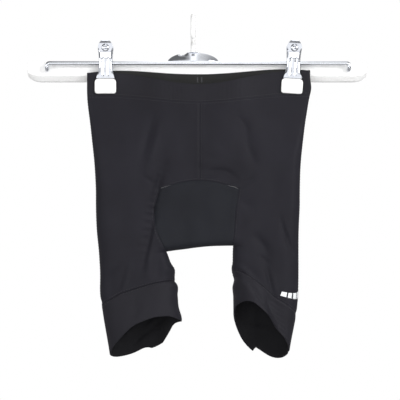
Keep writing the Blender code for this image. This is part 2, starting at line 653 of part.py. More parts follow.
def build_clip(name, x, collection, cutters, steel, plastic):
    """A clip: two bent steel leaves on a rivet, pinching the rod between them, each with a pad on the cloth."""
    table = columns_of(LEAF_COLUMNS, LEAF)
    pivot = bpy.data.objects.new(f"clip_pivot_{name}", None)
    pivot.location = hung(x, 0, ROD_Z)
    pivot.rotation_euler.y = math.radians(CLIP_TILT[name])
    collection.objects.link(pivot)
    pieces = []
    across = steps(-1, 1, LEAF_STEPS)
    for face, face_name in ((FRONT, "front"), (BACK, "back")):
        skins = []
        for inset in (0.0, LEAF_WALL):
            wide = table["half_wide"][:, None] * across
            ahead = np.repeat(table["ahead"][:, None] - inset, len(across), axis=1)
            height = np.repeat(table["z"][:, None], len(across), axis=1)
            points = np.stack([wide + x, face * ahead, height], axis=-1).reshape(-1, 3)
            skins.append(points + (CENTRE_BESIDE_HOOK, -CLOTH_BEFORE_HOOK, -WAIST_UNDER_HOOK))
        quads = lay_out(len(LEAF), len(across))
        leaf = f"clip_leaf_{face_name}_{name}"
        piece = add(leaf, cloth_mesh(leaf, *skins, quads), steel, collection)
        hole = f"rivet_hole_{face_name}_{name}"
        cutter = cylinder_cutter(hole, (x, face * 5, RIVET_Z), "Y", RIVET_PIN / 2 + CLEAR, 8, 16, cutters)
        drilled(piece, cutter)
        near, far = sorted((face * (PRESSED + CLEAR), face * (PRESSED + CLEAR + PAD_THICK)))
        shaping = block(f"clip_pad_{face_name}_{name}", (x - PAD_WIDE / 2, near, PAD_BOTTOM),
                        (x + PAD_WIDE / 2, far, PAD_TOP))
        rounded(shaping, lambda edge: runs_along(edge, 1), 3.5, 3)
        outside = (far if face == BACK else near) - CLOTH_BEFORE_HOOK

        def on_outside(edge):
            return all(abs(v.co.y - outside * MM) < 1e-6 for v in edge.verts)

        rounded(shaping, on_outside, 1.2, 2)
        pad = f"clip_pad_{face_name}_{name}"
        pieces += [piece, cutter, add(pad, mesh_from(shaping, pad), plastic, collection)]
    face_of_leaf = LEAF_AT_RIVET
    head = [(face_of_leaf + CLEAR + 1.6 * math.sin(a), RIVET_HEAD / 2 * math.cos(a)) for a in steps(0, math.pi / 2, 4)]
    low = [(-z, r) for z, r in head[::-1]]
    neck = [(-face_of_leaf - CLEAR, RIVET_PIN / 2), (face_of_leaf + CLEAR, RIVET_PIN / 2)]
    mesh = turned(f"clip_rivet_{name}", low + neck + head, (x, 0, RIVET_Z), "Y", 18)
    pieces.append(add(f"clip_rivet_{name}", mesh, steel, collection))
    for piece in pieces:
        piece.parent = pivot
        piece.matrix_parent_inverse = Matrix.Translation(-pivot.location)


def main():
    for old in list(bpy.data.objects):
        bpy.data.objects.remove(old)
    shorts = bpy.data.collections.new("cycling_shorts_on_hanger")
    cutters = bpy.data.collections.new("cutters")
    for collection in (shorts, cutters):
        bpy.context.scene.collection.children.link(collection)
    cloth = finish("elastane_knit", 0.9, 0.0, CLOTH_COLOUR)
    band = finish("band_knit", 0.85, 0.0, BAND_COLOUR)
    gusset = finish("gusset_knit", 0.9, 0.0, GUSSET_COLOUR)
    plastic = finish("moulded_plastic", 0.3, 0.0, PLASTIC_COLOUR)
    chrome = finish("chromed_steel", 0.12, 1.0, CHROME_COLOUR)
    build_panels(shorts, cloth)
    build_gusset(shorts, gusset)
    build_waistband(shorts, band)
    build_hem_bands(shorts, band)
    build_bar(shorts, cutters, plastic)
    build_rod(shorts, chrome)
    build_cap(shorts, cutters, chrome)
    build_hook(shorts, plastic)
    for name, x in CLIP_X.items():
        build_clip(name, x, shorts, cutters, chrome, plastic)


main()
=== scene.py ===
"""Looks of a pair of cycling shorts that hang by the waistband from the two clips of a bar hanger.

Sizes are in millimetres, and MM turns them to metres as they go into a mesh. +Z is up, -Y is the front and the
wearer's left is at +X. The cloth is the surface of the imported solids, worked out on a finer grid, with the
smaller creases, the seams and the threads on it.
"""

import math

import bpy
import numpy as np
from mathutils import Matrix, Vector


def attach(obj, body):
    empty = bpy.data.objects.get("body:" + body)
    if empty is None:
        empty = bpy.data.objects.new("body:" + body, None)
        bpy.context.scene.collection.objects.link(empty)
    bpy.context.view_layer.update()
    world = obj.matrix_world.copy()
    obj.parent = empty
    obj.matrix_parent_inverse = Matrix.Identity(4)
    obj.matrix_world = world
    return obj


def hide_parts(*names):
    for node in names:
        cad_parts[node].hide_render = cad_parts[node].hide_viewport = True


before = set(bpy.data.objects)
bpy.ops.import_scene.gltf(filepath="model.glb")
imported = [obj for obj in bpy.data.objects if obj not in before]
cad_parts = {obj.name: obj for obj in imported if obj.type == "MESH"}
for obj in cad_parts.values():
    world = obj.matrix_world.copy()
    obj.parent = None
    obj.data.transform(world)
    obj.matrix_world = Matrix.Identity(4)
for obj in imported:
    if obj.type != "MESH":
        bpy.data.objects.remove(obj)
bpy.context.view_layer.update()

MM = 0.001
LEFT, RIGHT = 1, -1
FRONT, BACK = -1, 1
SIDE_NAMES = {LEFT: "left", RIGHT: "right"}
FACE_NAMES = {FRONT: "front", BACK: "back"}

# Where the garment's middle and waist edge are under the hook
HUNG = np.array((5.9, -13.0, -65.0))

# The garment's own sizes, as its solids have them
WAISTBAND_DEEP = 27.0
FRONT_SAG, BACK_SAG, BACK_RISE = 14.0, 4.5, 3.4
LEFT_CORNER_RISE = 3.0
SAG_HALF_WIDTH, WAIST_HALF, SAG_FADE = 105.0, 130.0, 45.0
CENTRE_SEAM_X = 2.0
GUSSET_TOP, GUSSET_ARCH = 135.0, 10.0
CROTCH_ROUND = 11.0
CROTCH = {LEFT: 202.0, RIGHT: 209.0}
BAND_SEAM = {LEFT: 252.7, RIGHT: 255.0}
HEM = {LEFT: 299.5, RIGHT: 306.5}
PRESSED = 2.3
CLIP_X = {LEFT: 111.4, RIGHT: -108.0}
CLIP_TILT = {LEFT: 3.6, RIGHT: 0.0}
PAD_WIDE = 25.0
PLATEAU = {"outside": 2.5, "inside": 8.5}
PRESS_REACH = {"outside": 12.0, "inside": 52.0}
PRESS_LOWEST, PRESS_FADE = 100.0, 70.0

# Cloth: a single layer of knit, and the doubled bands
KNIT_THICK, BAND_THICK = 1.1, 1.7

LEG_COLUMNS = ("down", "outer", "inner", "front", "back", "round", "rise", "tilt", "turn")
# A row for each level of one half of the garment. down: below the waist edge; outer: the side fold's X; inner:
# X of the gusset seam, and of the inner fold below the crotch; front, back: how far each layer stands from the
# middle plane; round: how far in from a fold the section turns; rise, tilt: how much higher the level gets per
# millimetre towards +X and +Y; turn: how far it moves to +X per millimetre towards +Y.
RIGHT_HALF = (
    (0, -130.0, -48.0, 4.0, 3.6, 4.0, 0, 0, 0),
    (27, -129.8, -47.5, 5.6, 5.0, 5.0, 0, 0, 0),
    (66, -125.4, -46.5, 8.0, 8.0, 8.0, 0, 0, 0),
    (110, -120.7, -45.5, 10.5, 10.5, 11.0, 0, 0, 0),
    (135, -119.4, -45.0, 11.5, 11.5, 12.0, 0, 0, 0),
    (160, -119.2, -51.0, 12.0, 12.0, 13.0, 0, 0, 0),
    (184, -118.2, -48.0, 12.5, 12.5, 14.0, 0, 0, 0),
    (209, -115.8, -36.8, 13.0, 13.0, 16.0, 0, 0, 0),
    (232, -114.0, -31.0, 14.0, 14.0, 19.0, 0.14, -0.14, 0),
    (255, -112.6, -26.8, 16.0, 16.0, 24.0, 0.29, -0.38, 0),
    (306.5, -104.0, -20.0, 22.0, 22.0, 36.0, 0.42, -0.86, 0),
)
LEFT_HALF = (
    (0, 131.5, 48.0, 4.0, 3.6, 4.0, 0, 0, 0),
    (27, 130.4, 47.8, 5.6, 5.0, 5.0, 0, 0, 0),
    (66, 124.6, 47.5, 8.0, 8.0, 8.0, 0, 0, 0),
    (110, 119.8, 47.5, 10.5, 10.5, 11.0, 0, 0, 0),
    (135, 119.0, 47.5, 11.5, 11.5, 12.0, 0, 0, 0),
    (157, 118.8, 44.6, 12.0, 12.0, 13.0, 0, 0, 0),
    (178, 117.8, 42.8, 12.5, 12.5, 14.0, 0, 0, 0),
    (202, 117.0, 41.0, 13.0, 13.0, 16.0, 0, 0, 0),
    (227, 116.0, 40.6, 14.0, 14.0, 18.0, -0.30, -0.16, 0),
    (252.7, 114.6, 41.0, 16.5, 16.5, 23.0, -0.57, -0.42, -0.12),
    (299.5, 106.6, 42.2, 23.0, 23.0, 30.0, -0.76, -0.94, -0.30),
)
CENTRE_COLUMNS = ("down", "front", "back")
# The same two depths at the garment's middle
CENTRE = (
    (0, 9.0, 5.0),
    (27, 8.5, 6.0),
    (66, 9.5, 9.0),
    (135, 11.0, 11.5),
    (184, 11.5, 12.5),
    (209, 13.0, 13.0),
    (255, 16.0, 16.0),
    (306.5, 22.0, 22.0),
)

BUMP_COLUMNS = ("side", "edge", "down", "wide", "out")
# Slight waves of the legs' outlines: how far a fold stands out at a level, as a bell curve
BUMPS = (
    (RIGHT, "inner", 238, 9, 2.6),
    (RIGHT, "inner", 257, 2.5, -1.0),
    (RIGHT, "inner", 266, 6, 1.8),
    (RIGHT, "inner", 290, 8, -0.6),
    (RIGHT, "inner", 306, 8, 1.2),
    (RIGHT, "outer", 246, 12, 1.2),
    (RIGHT, "outer", 256, 2.5, -0.7),
    (LEFT, "inner", 249, 8, 1.5),
    (LEFT, "inner", 263, 5, -1.2),
    (LEFT, "inner", 275, 5, 0.8),
    (LEFT, "outer", 235, 30, 1.5),
    (LEFT, "outer", 260, 3, -0.8),
    (LEFT, "outer", 20, 9, 1.8),
)

EDGE_COLUMNS = ("across", "drop")
# How much lower than the solids' level the leg band's seam lies, at places across one face of a leg
SEAM_DROPS = {
    (RIGHT, FRONT): ((0, 5.0), (0.5, 4.0), (1, 2.0), (1.5, 1.0), (2, 1.5), (2.5, 2.5), (3, 2.5)),
    (LEFT, FRONT): ((0, 6.0), (0.5, 9.0), (1, 10.5), (1.5, 8.0), (2, 4.0), (2.5, 1.0), (3, 3.0)),
    (RIGHT, BACK): ((0, 5.0), (0.5, 4.5), (1, 3.0), (1.5, 2.0), (2, 2.0), (2.5, 2.5), (3, 2.5)),
    (LEFT, BACK): ((0, 6.0), (0.5, 7.0), (1, 6.0), (1.5, 4.5), (2, 3.5), (2.5, 3.0), (3, 3.0)),
}
# The same for the cut edge of the leg opening
HEM_DROPS = {
    (RIGHT, FRONT): ((0, 4.0), (0.25, 5.0), (0.5, 5.3), (0.85, 0.7), (1.2, 0.2), (1.6, 0.3), (2.05, 0.6), (2.32, 3.4),
                     (2.7, 6.5), (2.9, 4.0), (3, 2.6)),
    (LEFT, FRONT): ((0, 2.0), (0.2, 4.0), (0.41, 5.5), (0.6, 4.8), (0.8, 3.4), (1, 0.3), (1.2, -0.8), (1.5, 0.4),
                    (2.4, 0.4), (3, 0.5)),
    (RIGHT, BACK): ((0, 4.0), (0.36, 1.7), (0.94, -0.8), (1.88, 1.2), (2.16, 3.4), (2.27, 5.0), (2.4, 1.5),
                    (2.52, -3.0), (2.7, -3.5), (2.9, 0.0), (3, 2.6)),
    (LEFT, BACK): ((0, 2.0), (0.6, 2.3), (0.87, 0.8), (1.5, 3.5), (2.07, 5.8), (2.33, 5.8), (2.5, 4.0), (3, 0.5)),
}

FOLD_COLUMNS = ("side", "x0", "down0", "x1", "down1", "x2", "down2", "deep", "wide")
# A row for each large crease, as in the solids: a soft trough, or a ridge where deep is below zero, along a curve
# through three places, fading to nothing at both ends
FOLDS = (
    (FRONT, -36, 104, -54, 150, -66, 232, 3.6, 8.0),
    (FRONT, -50, 46, -60, 72, -66, 104, 1.8, 7.0),
    (FRONT, -41, 52, -52, 88, -62, 128, -1.4, 7.0),
    (FRONT, 47, 52, 59, 78, 67, 108, 1.7, 9.0),
    (FRONT, -76, 222, -88, 240, -108, 258, 2.2, 9.0),
    (FRONT, 70, 190, 78, 214, 84, 250, 2.0, 8.0),
    (FRONT, 97, 170, 104, 200, 113, 224, 1.4, 6.0),
    (FRONT, 56, 236, 60, 246, 68, 258, 2.0, 8.0),
    (FRONT, -10, 114, 16, 106, 46, 124, 1.5, 7.0),
    (FRONT, 85, 258, 89, 300, 93, 345, 7.0, 12.0),
    (FRONT, 53, 252, 52, 290, 51, 332, -4.5, 12.0),
    (BACK, -33, 262, -31, 302, -29, 352, 12.0, 11.5),
    (BACK, 40, 100, 56, 150, 66, 225, 3.0, 9.0),
    (BACK, -40, 100, -58, 150, -66, 220, 2.6, 9.0),
    (BACK, 48, 48, 60, 76, 68, 110, 1.6, 8.0),
    (BACK, -46, 50, -56, 80, -64, 112, 1.6, 8.0),
    (BACK, 78, 225, 92, 238, 108, 252, 2.0, 9.0),
    (BACK, -76, 222, -88, 236, -106, 250, 2.0, 9.0),
)
# The smaller creases on top of those: crisp cores of the large ones, thin ridges beside them, short dents, and
# pulls that leave the clips and the gusset's corners
SMALL_FOLDS = (
    (FRONT, -50, 44, -60, 74, -65, 102, 0.9, 3.2),
    (FRONT, -44, 48, -49, 85, -63, 128, -0.8, 4.2),
    (FRONT, -36, 100, -52, 138, -52, 172, 1.5, 3.6),
    (FRONT, -51, 156, -55, 200, -68, 244, 1.3, 3.6),
    (FRONT, -48.5, 172, -53, 198, -60, 224, -0.9, 2.2),
    (FRONT, -46, 206, -47, 232, -46.5, 254, 1.6, 5.0),
    (FRONT, -57, 208, -57.5, 232, -56, 252, -1.0, 4.4),
    (FRONT, -36, 210, -36.5, 234, -35, 256, -0.9, 5.0),
    (FRONT, -78, 218, -83, 242, -90, 264, -1.0, 2.8),
    (FRONT, -89, 225, -102, 238, -113, 246, 1.4, 6.0),
    (FRONT, -99, 230, -102, 246, -100, 262, 1.0, 5.0),
    (FRONT, 46, 49, 60, 58, 58, 82, 1.0, 3.6),
    (FRONT, 58, 76, 59, 92, 68, 106, 0.9, 3.6),
    (FRONT, 13, 86, 20, 90, 26, 92, -0.7, 7.0),
    (FRONT, 3, 99, 8, 107, 16, 109, -0.5, 6.0),
    (FRONT, 49, 102, 55, 108, 60, 114, -0.8, 7.0),
    (FRONT, 51, 148, 57, 154, 63, 160, 0.9, 6.0),
    (FRONT, 65, 188, 74, 197, 83, 212, 1.4, 5.0),
    (FRONT, 71, 215, 77, 219, 82, 222, 0.7, 3.0),
    (FRONT, 79, 226, 82, 244, 84, 264, 1.2, 2.6),
    (FRONT, 86, 230, 88, 246, 89, 262, -0.5, 3.0),
    (FRONT, 95, 164, 100, 190, 115.5, 220, 1.0, 1.7),
    (FRONT, 98.5, 166, 104, 189, 118, 214, -0.5, 2.2),
    (FRONT, 43, 251, 50, 253, 59, 263, 1.4, 4.0),
    (FRONT, 53, 263, 60, 276, 68, 288, 1.3, 5.0),
    (FRONT, 13, 114, 20, 112, 29, 114.5, 0.8, 2.0),
    (FRONT, 5, 120.5, 14, 119.5, 28, 121, 0.7, 2.0),
    (FRONT, 23, 112, 37, 113, 47, 126, 0.9, 3.0),
    (FRONT, -43, 116, -36, 127, -30, 140, -0.7, 6.0),
    (FRONT, -46, 134, -56, 127, -66, 117, 0.6, 3.0),
    (FRONT, 48, 134, 57, 127, 68, 121, 0.5, 3.0),
    (FRONT, -94, 34, -83, 43, -66, 47, 0.5, 6.0),
    (FRONT, -101, 36, -95, 60, -91, 92, 0.6, 7.0),
    (FRONT, 98, 34, 88, 45, 71, 51, 0.5, 6.0),
    (FRONT, 104, 38, 101, 66, 97, 98, 0.6, 7.0),
    (FRONT, -22, 148, -14, 168, -17, 192, 0.6, 9.0),
    (FRONT, 14, 146, 20, 170, 17, 190, -0.6, 8.0),
    (FRONT, -74, 262, -70, 282, -76, 302, 0.8, 6.0),
    (FRONT, -28, 262, -33, 280, -32, 300, -0.8, 5.0),
    (FRONT, -80, 132, -88, 168, -86, 208, 0.7, 10.0),
    (FRONT, 84, 112, 90, 146, 86, 176, 0.7, 10.0),
    (FRONT, 78, 266, 76, 280, 80, 292, 0.8, 4.5),
    (BACK, 41, 98, 55, 140, 60, 178, 1.2, 3.6),
    (BACK, 60, 176, 64, 204, 70, 236, 1.1, 3.8),
    (BACK, -41, 98, -56, 140, -61, 176, 1.0, 3.8),
    (BACK, -60, 172, -64, 200, -72, 232, 1.1, 3.6),
    (BACK, 50, 50, 60, 76, 67, 108, -0.7, 4.0),
    (BACK, -47, 52, -57, 80, -63, 110, 0.8, 3.6),
    (BACK, -16, 116, -4, 110, 14, 113, 0.8, 2.4),
    (BACK, -46, 134, -58, 128, -70, 118, 0.6, 3.0),
    (BACK, 48, 134, 58, 126, 72, 120, 0.6, 3.0),
    (BACK, 86, 206, 94, 226, 110, 240, 1.0, 4.0),
    (BACK, -82, 200, -94, 222, -108, 232, 1.0, 4.0),
    (BACK, 96, 34, 86, 48, 68, 56, 0.5, 6.0),
    (BACK, -96, 36, -84, 46, -64, 52, 0.5, 6.0),
    (BACK, 92, 96, 96, 140, 92, 186, 0.7, 10.0),
    (BACK, -90, 104, -94, 150, -88, 192, -0.7, 10.0),
    (BACK, 66, 262, 72, 276, 70, 292, 0.9, 5.0),
    (BACK, -97, 293, -75, 284, -54, 277, 2.2, 3.5),
    (BACK, -82, 298, -62, 291, -42, 285, -1.8, 3.5),
    (BACK, -66, 290, -50, 285, -33, 280, 2.2, 3.0),
    (BACK, 58, 300, 72, 287, 94, 278, 2.0, 4.0),
    (BACK, -84, 268, -80, 284, -84, 300, 0.9, 6.0),
)
STEPS_ALONG_FOLD = 17
STEPS_ALONG_SMALL_FOLD = 33
SMALL_FOLD_STRENGTH = 1.6
FOLD_FADE = 0.7

WAVE_COLUMNS = ("length", "degrees", "phase", "high")
# Slight waves of hanging cloth: length of the wave, its direction from +X, where it starts, and its height
WAVES = (
    (47.0, 9.0, 0.4, 0.28),
    (31.0, -14.0, 1.9, 0.18),
    (19.0, 21.0, 2.6, 0.09),
    (64.0, 74.0, 4.1, 0.22),
)

# A sewn seam: a narrow trough with the cloth slightly full on both sides of it
SEAM_DIP, SEAM_WIDE = 0.36, 1.0
CASING_DIP = 0.2
SEAM_FULL, SEAM_FULL_AT, SEAM_FULL_WIDE = 0.22, 3.2, 1.8

# A fold takes at most this share of a leg's width
WIDEST_ROUND = 0.485
# Shares of the way from the side fold to the centre between which the leg's depth turns into the body's
LEG_DEPTH_UNTIL, BODY_DEPTH_FROM = 0.25, 0.7
# How fine the cloth's surfaces are: millimetres from row to row, and steps round the folds
GRID = 1.4
OUTER_STEPS, INNER_STEPS = 14, 12


def columns_of(names, rows):
    """A table as one array for each named column."""
    return dict(zip(names, np.array(rows, float).T))


HALVES = {LEFT: columns_of(LEG_COLUMNS, LEFT_HALF), RIGHT: columns_of(LEG_COLUMNS, RIGHT_HALF)}
MIDDLE = columns_of(CENTRE_COLUMNS, CENTRE)


def through(table, name, place, along="down"):
    """A column's value at a level, or at a place in another column: the cubic through each pair of rows, with
    the slope at a row that of the curve through its neighbours."""
    knots, values = table[along], table[name]
    slopes = np.gradient(values, knots)
    first = np.clip(np.searchsorted(knots, place, side="right") - 1, 0, len(knots) - 2)
    span = knots[first + 1] - knots[first]
    t = (place - knots[first]) / span
    return (
        values[first] * (1 + 2 * t) * (1 - t) ** 2
        + values[first + 1] * t**2 * (3 - 2 * t)
        + span * (slopes[first] * t * (1 - t) ** 2 - slopes[first + 1] * t**2 * (1 - t))
    )


def eased(t):
    """0 to 1 with level ends."""
    t = np.clip(t, 0.0, 1.0)
    return t * t * (3 - 2 * t)


def bell(distance, wide):
    """The bell curve exp(-(distance / wide)^2)."""
    return np.exp(-((distance / wide) ** 2))


def sag(x, down, face):
    """How far the hanging middle between the clips lies below the ends: a squared cosine across, fading
    exponentially downwards. The higher cut back stands above the corners by its rise."""
    amount = np.where(face == FRONT, FRONT_SAG, BACK_SAG)
    across = np.cos(np.clip(x / SAG_HALF_WIDTH, -1, 1) * math.pi / 2) ** 2
    rise = np.where(face == BACK, BACK_RISE, 0.0) * (1 - np.clip(np.abs(x) / WAIST_HALF, 0, 1) ** 6)
    return (amount * across - rise) * np.exp(-down / SAG_FADE)


def pressed_share(x, down):
    """1 under the clips' pads, easing to 0 around them."""
    share = 0.0
    for side, centre in CLIP_X.items():
        beyond = (x - centre) * side > 0
        plateau = np.where(beyond, PLATEAU["outside"], PLATEAU["inside"])
        reach = np.where(beyond, PRESS_REACH["outside"], PRESS_REACH["inside"])
        away = np.abs(x - centre) - PAD_WIDE / 2 - plateau
        share = np.maximum(share, eased(1 - away / reach))
    return share * eased((PRESS_LOWEST - down) / PRESS_FADE)


def dents(rows, count, x, down, face):
    """Depth of a table of creases at a place: for each, the deepest of a row of bell-shaped dents along its
    curve, which fade as a power of a half sine towards both ends."""
    total = np.zeros(x.shape)
    t = np.linspace(0, 1, count)
    fade = np.sin(math.pi * t) ** FOLD_FADE
    for row in rows:
        fold = dict(zip(FOLD_COLUMNS, row))
        on_face = face == fold["side"]
        if not on_face.any():
            continue
        curve_x = (1 - t) ** 2 * fold["x0"] + 2 * t * (1 - t) * fold["x1"] + t**2 * fold["x2"]
        curve_down = (1 - t) ** 2 * fold["down0"] + 2 * t * (1 - t) * fold["down1"] + t**2 * fold["down2"]
        away = (x[..., None] - curve_x) ** 2 + (down[..., None] - curve_down) ** 2
        total += fold["deep"] * (fade * np.exp(-away / fold["wide"] ** 2)).max(axis=-1) * on_face
    return total


def waves(x, down, face):
    """The slight waves: a sum of sines across the cloth, in other places on the back."""
    table = columns_of(WAVE_COLUMNS, WAVES)
    turn = np.radians(table["degrees"])
    run = x[..., None] * np.cos(turn) + down[..., None] * np.sin(turn)
    phase = table["phase"] + np.where(face == BACK, 2.0, 0.0)[..., None]
    return (table["high"] * np.sin(2 * math.pi * run / table["length"] + phase)).sum(axis=-1)


def gusset_top(across):
    """Level of the gusset's top seam, which arches up from its two corners to the middle."""
    return GUSSET_TOP - GUSSET_ARCH * np.sin(np.clip(across - 3, 0, 1) * math.pi / 2)


def edge_level(level, drops, side, across, face):
    """Level of the leg band's seam or cut edge at places across: the solids' level and the table's drop."""
    across = np.clip(across, 0, 3)
    front, back = (
        through(columns_of(EDGE_COLUMNS, drops[side, which]), "drop", across, along="across") for which in (FRONT, BACK)
    )
    return level[side] + np.where(np.asarray(face) == FRONT, front, back)


def band_seam(side, across, face):
    """Level of the seam that joins the leg band."""
    return edge_level(BAND_SEAM, SEAM_DROPS, side, across, face)


def hem_edge(side, across, face):
    """Level of the leg opening's edge."""
    return edge_level(HEM, HEM_DROPS, side, across, face)


def bump(side, edge, down):
    """How far the outer or the inner fold stands out at a level: a sum of bell curves."""
    rows = (dict(zip(BUMP_COLUMNS, row)) for row in BUMPS)
    fitting = [row for row in rows if row["side"] == side and row["edge"] == edge]
    return sum(row["out"] * bell(down - row["down"], row["wide"]) for row in fitting)


def to_seam(side, x, across, down, face):
    """Distance to the nearest seam on the flat of the cloth: leg band, centre, and the top and sides of the
    gusset."""
    top = gusset_top(across)
    gusset_side = np.abs(x - through(HALVES[side], "inner", down))
    beside = (down > GUSSET_TOP - 1) & (down < CROTCH[side])
    away = np.abs(down - band_seam(side, across, face))
    away = np.minimum(away, np.where((down < top) & (down > WAISTBAND_DEEP), np.abs(x - CENTRE_SEAM_X), 99.0))
    away = np.minimum(away, np.where(across >= 3, np.abs(down - top), 99.0))
    return np.minimum(away, np.where(beside, gusset_side, 99.0))


def seam_form(away):
    """How deep the cloth lies near a seam: the trough's bell curve less a lower one beside it."""
    return SEAM_DIP * bell(away, SEAM_WIDE) - SEAM_FULL * bell(away - SEAM_FULL_AT, SEAM_FULL_WIDE)


GATHER_SPACING, GATHER_HIGH = 4.6, 0.1


def relief(side, x, across, down, face):
    """How far the cloth lies inside its plain form: creases, waves, seams and the casing's slight gathers. Under
    the pads it lies flat."""
    depth = SMALL_FOLD_STRENGTH * dents(SMALL_FOLDS, STEPS_ALONG_SMALL_FOLD, x, down, face)
    depth += waves(x, down, face)
    depth += seam_form(to_seam(side, x, across, down, face))
    depth += CASING_DIP * bell(down - WAISTBAND_DEEP, SEAM_WIDE)
    gathered = eased(down / 6) * eased((WAISTBAND_DEEP + 9 - down) / 12)
    depth += GATHER_HIGH * gathered * np.sin(2 * math.pi * x / GATHER_SPACING + 2 * np.sin(x / 13))
    depth *= 1 - pressed_share(x, down)
    return depth + dents(FOLDS, STEPS_ALONG_FOLD, x, down, face)


def placed(side, x, y, down, face):
    """The points of a level, leaned as its table row says and sagging at the waist, under the hook, in metres."""
    half = HALVES[side]
    middle = (through(half, "outer", down) + through(half, "inner", down)) / 2
    z = -down - sag(x, down, face)
    z = z + through(half, "rise", down) * (x - middle)
    z = z + LEFT_CORNER_RISE * np.exp(-down / SAG_FADE) * np.clip(x / WAIST_HALF, 0, 1) ** 2
    z = z + through(half, "tilt", down) * y
    x = x + through(half, "turn", down) * y
    return (np.stack([x, y, z], axis=-1) + HUNG) * MM


def skin(side, across, down, face):
    """Points of the cloth's outer face, in metres.

    across runs 0 to 1 round the side fold, 1 to 2 over the flat of the leg, 2 to 3 round its inner fold or up
    to the gusset seam, and 3 to 4 from there to the centre. Round a fold the section is a quarter ellipse.
    Above the crotch the inner fold opens into the gusset: its share is a quarter circle in height.
    """
    half = HALVES[side]
    across, down, face = np.broadcast_arrays(*(np.asarray(v, float) for v in (across, down, face)))
    outer, inner, radius = (through(half, name, down) for name in ("outer", "inner", "round"))
    open_share = np.sqrt(1 - (1 - np.clip((CROTCH[side] - down) / CROTCH_ROUND, 0, 1)) ** 2)
    outer = outer + side * bump(side, "outer", down)
    inner = inner - side * bump(side, "inner", down)
    width = np.abs(inner - outer)
    radius = np.minimum(radius, WIDEST_ROUND * width)
    round_angle = across * math.pi / 2
    inner_angle = (3 - across) * math.pi / 2
    inner_run = (1 - open_share) * (1 - np.cos(inner_angle)) + open_share * (3 - across)
    run = np.where(
        across < 1,
        radius * (1 - np.cos(round_angle)),
        np.where(across < 2, radius + (across - 1) * (width - 2 * radius), width - radius * inner_run),
    )
    x = outer - side * run
    x = np.where(across > 3, inner + (across - 3) * (CENTRE_SEAM_X - inner), x)
    lift = np.where(across < 1, np.sin(round_angle), 1.0)
    lift = np.where((across > 2) & (across <= 3), open_share + (1 - open_share) * np.sin(inner_angle), lift)
    leg_depth = np.where(face == FRONT, through(half, "front", down), through(half, "back", down))
    mid_depth = np.where(face == FRONT, through(MIDDLE, "front", down), through(MIDDLE, "back", down))
    towards = np.abs(x - outer) / np.abs(CENTRE_SEAM_X - outer)
    body_share = eased((towards - LEG_DEPTH_UNTIL) / (BODY_DEPTH_FROM - LEG_DEPTH_UNTIL))
    depth = leg_depth + (mid_depth - leg_depth) * body_share
    depth += (PRESSED - depth) * pressed_share(x, down)
    y = depth * lift
    x = x - side * np.where(across < 1, seam_form(y), 0.0)
    x = x + side * np.where((across > 2) & (across <= 3), seam_form(y) * (1 - open_share), 0.0)
    y = face * (y - lift * relief(side, x, across, down, face))
    return placed(side, x, y, down, face)


def gusset_skin(across, along):
    """Points of the crotch panel's outer face, in metres. across runs -1 at the right seam to 1 at the left.
    along runs -2 at the top in front, -1 where the turn under the body starts, 0 at the bottom, and on to 2 at
    the top behind. The turn is a half ellipse, and the two halves' leans blend smoothly over the middle."""
    across, along = np.broadcast_arrays(np.asarray(across, float), np.asarray(along, float))
    left_share = eased((across + 0.5) / 1.0)
    face = np.where(along < 0, FRONT, BACK)
    to_centre = 1 - np.abs(across)
    crotch = CROTCH[LEFT] + (CROTCH[RIGHT] - CROTCH[LEFT]) * ((1 - across) / 2) ** 2
    top = gusset_top(3 + to_centre)
    start = crotch - CROTCH_ROUND
    angle = np.clip(np.abs(along), 0, 1) * math.pi / 2
    down = np.where(
        np.abs(along) > 1,
        start + (np.abs(along) - 1) * (top - start),
        crotch - CROTCH_ROUND * (1 - np.cos(angle)),
    )
    edges = {which: through(HALVES[which], "inner", down) for which in (LEFT, RIGHT)}
    edge = np.where(across < 0, edges[RIGHT], edges[LEFT])
    x = edge + to_centre * (CENTRE_SEAM_X - edge)
    points = np.zeros(across.shape + (3,))
    for which, share in ((LEFT, left_share), (RIGHT, 1 - left_share)):
        front, back = through(MIDDLE, "front", down), through(MIDDLE, "back", down)
        form = relief(which, x, 3 + to_centre, down, face)
        y = face * np.sin(angle) * (np.where(face == FRONT, front, back) - form)
        points += share[..., None] * placed(which, x, y, down, face)
    return points


def steps(start, end, size):
    """Even steps from start to end, each about a grid space for a run of that size."""
    return np.linspace(start, end, max(2, round(abs(size) / GRID)) + 1)


def joined(*runs):
    """Runs of values end to end, each shared end once."""
    return np.concatenate([runs[0]] + [run[1:] for run in runs[1:]])


LEG_ACROSS = joined(np.linspace(0, 1, OUTER_STEPS + 1), steps(1, 2, 46), np.linspace(2, 3, INNER_STEPS + 1))
TO_CENTRE = steps(3, 4, 46)


def panel_levels(side, across, face):
    """Levels of a panel's rows at each place across: waist seam, gusset top, turn of the crotch, crotch, leg
    band. Returns them and how many rows the body has."""
    across = np.asarray(across, float)
    crotch, top = CROTCH[side], gusset_top(across)
    body_steps = steps(0, 1, GUSSET_TOP - WAISTBAND_DEEP)
    body = WAISTBAND_DEEP + body_steps[:, None] * (top - WAISTBAND_DEEP)
    turn_start = crotch - CROTCH_ROUND
    rise = top + steps(0, 1, turn_start - GUSSET_TOP)[1:, None] * (turn_start - top)
    angles = np.linspace(math.pi / 2, 0, INNER_STEPS + 1)[1:, None]
    turn = crotch - CROTCH_ROUND * (1 - np.cos(angles)) + 0 * top
    share = steps(0, 1, BAND_SEAM[side] - crotch)[1:, None]
    leg = crotch + share * (band_seam(side, across, face) - crotch)
    return np.concatenate([body, rise, turn, leg]), len(body_steps) - 1


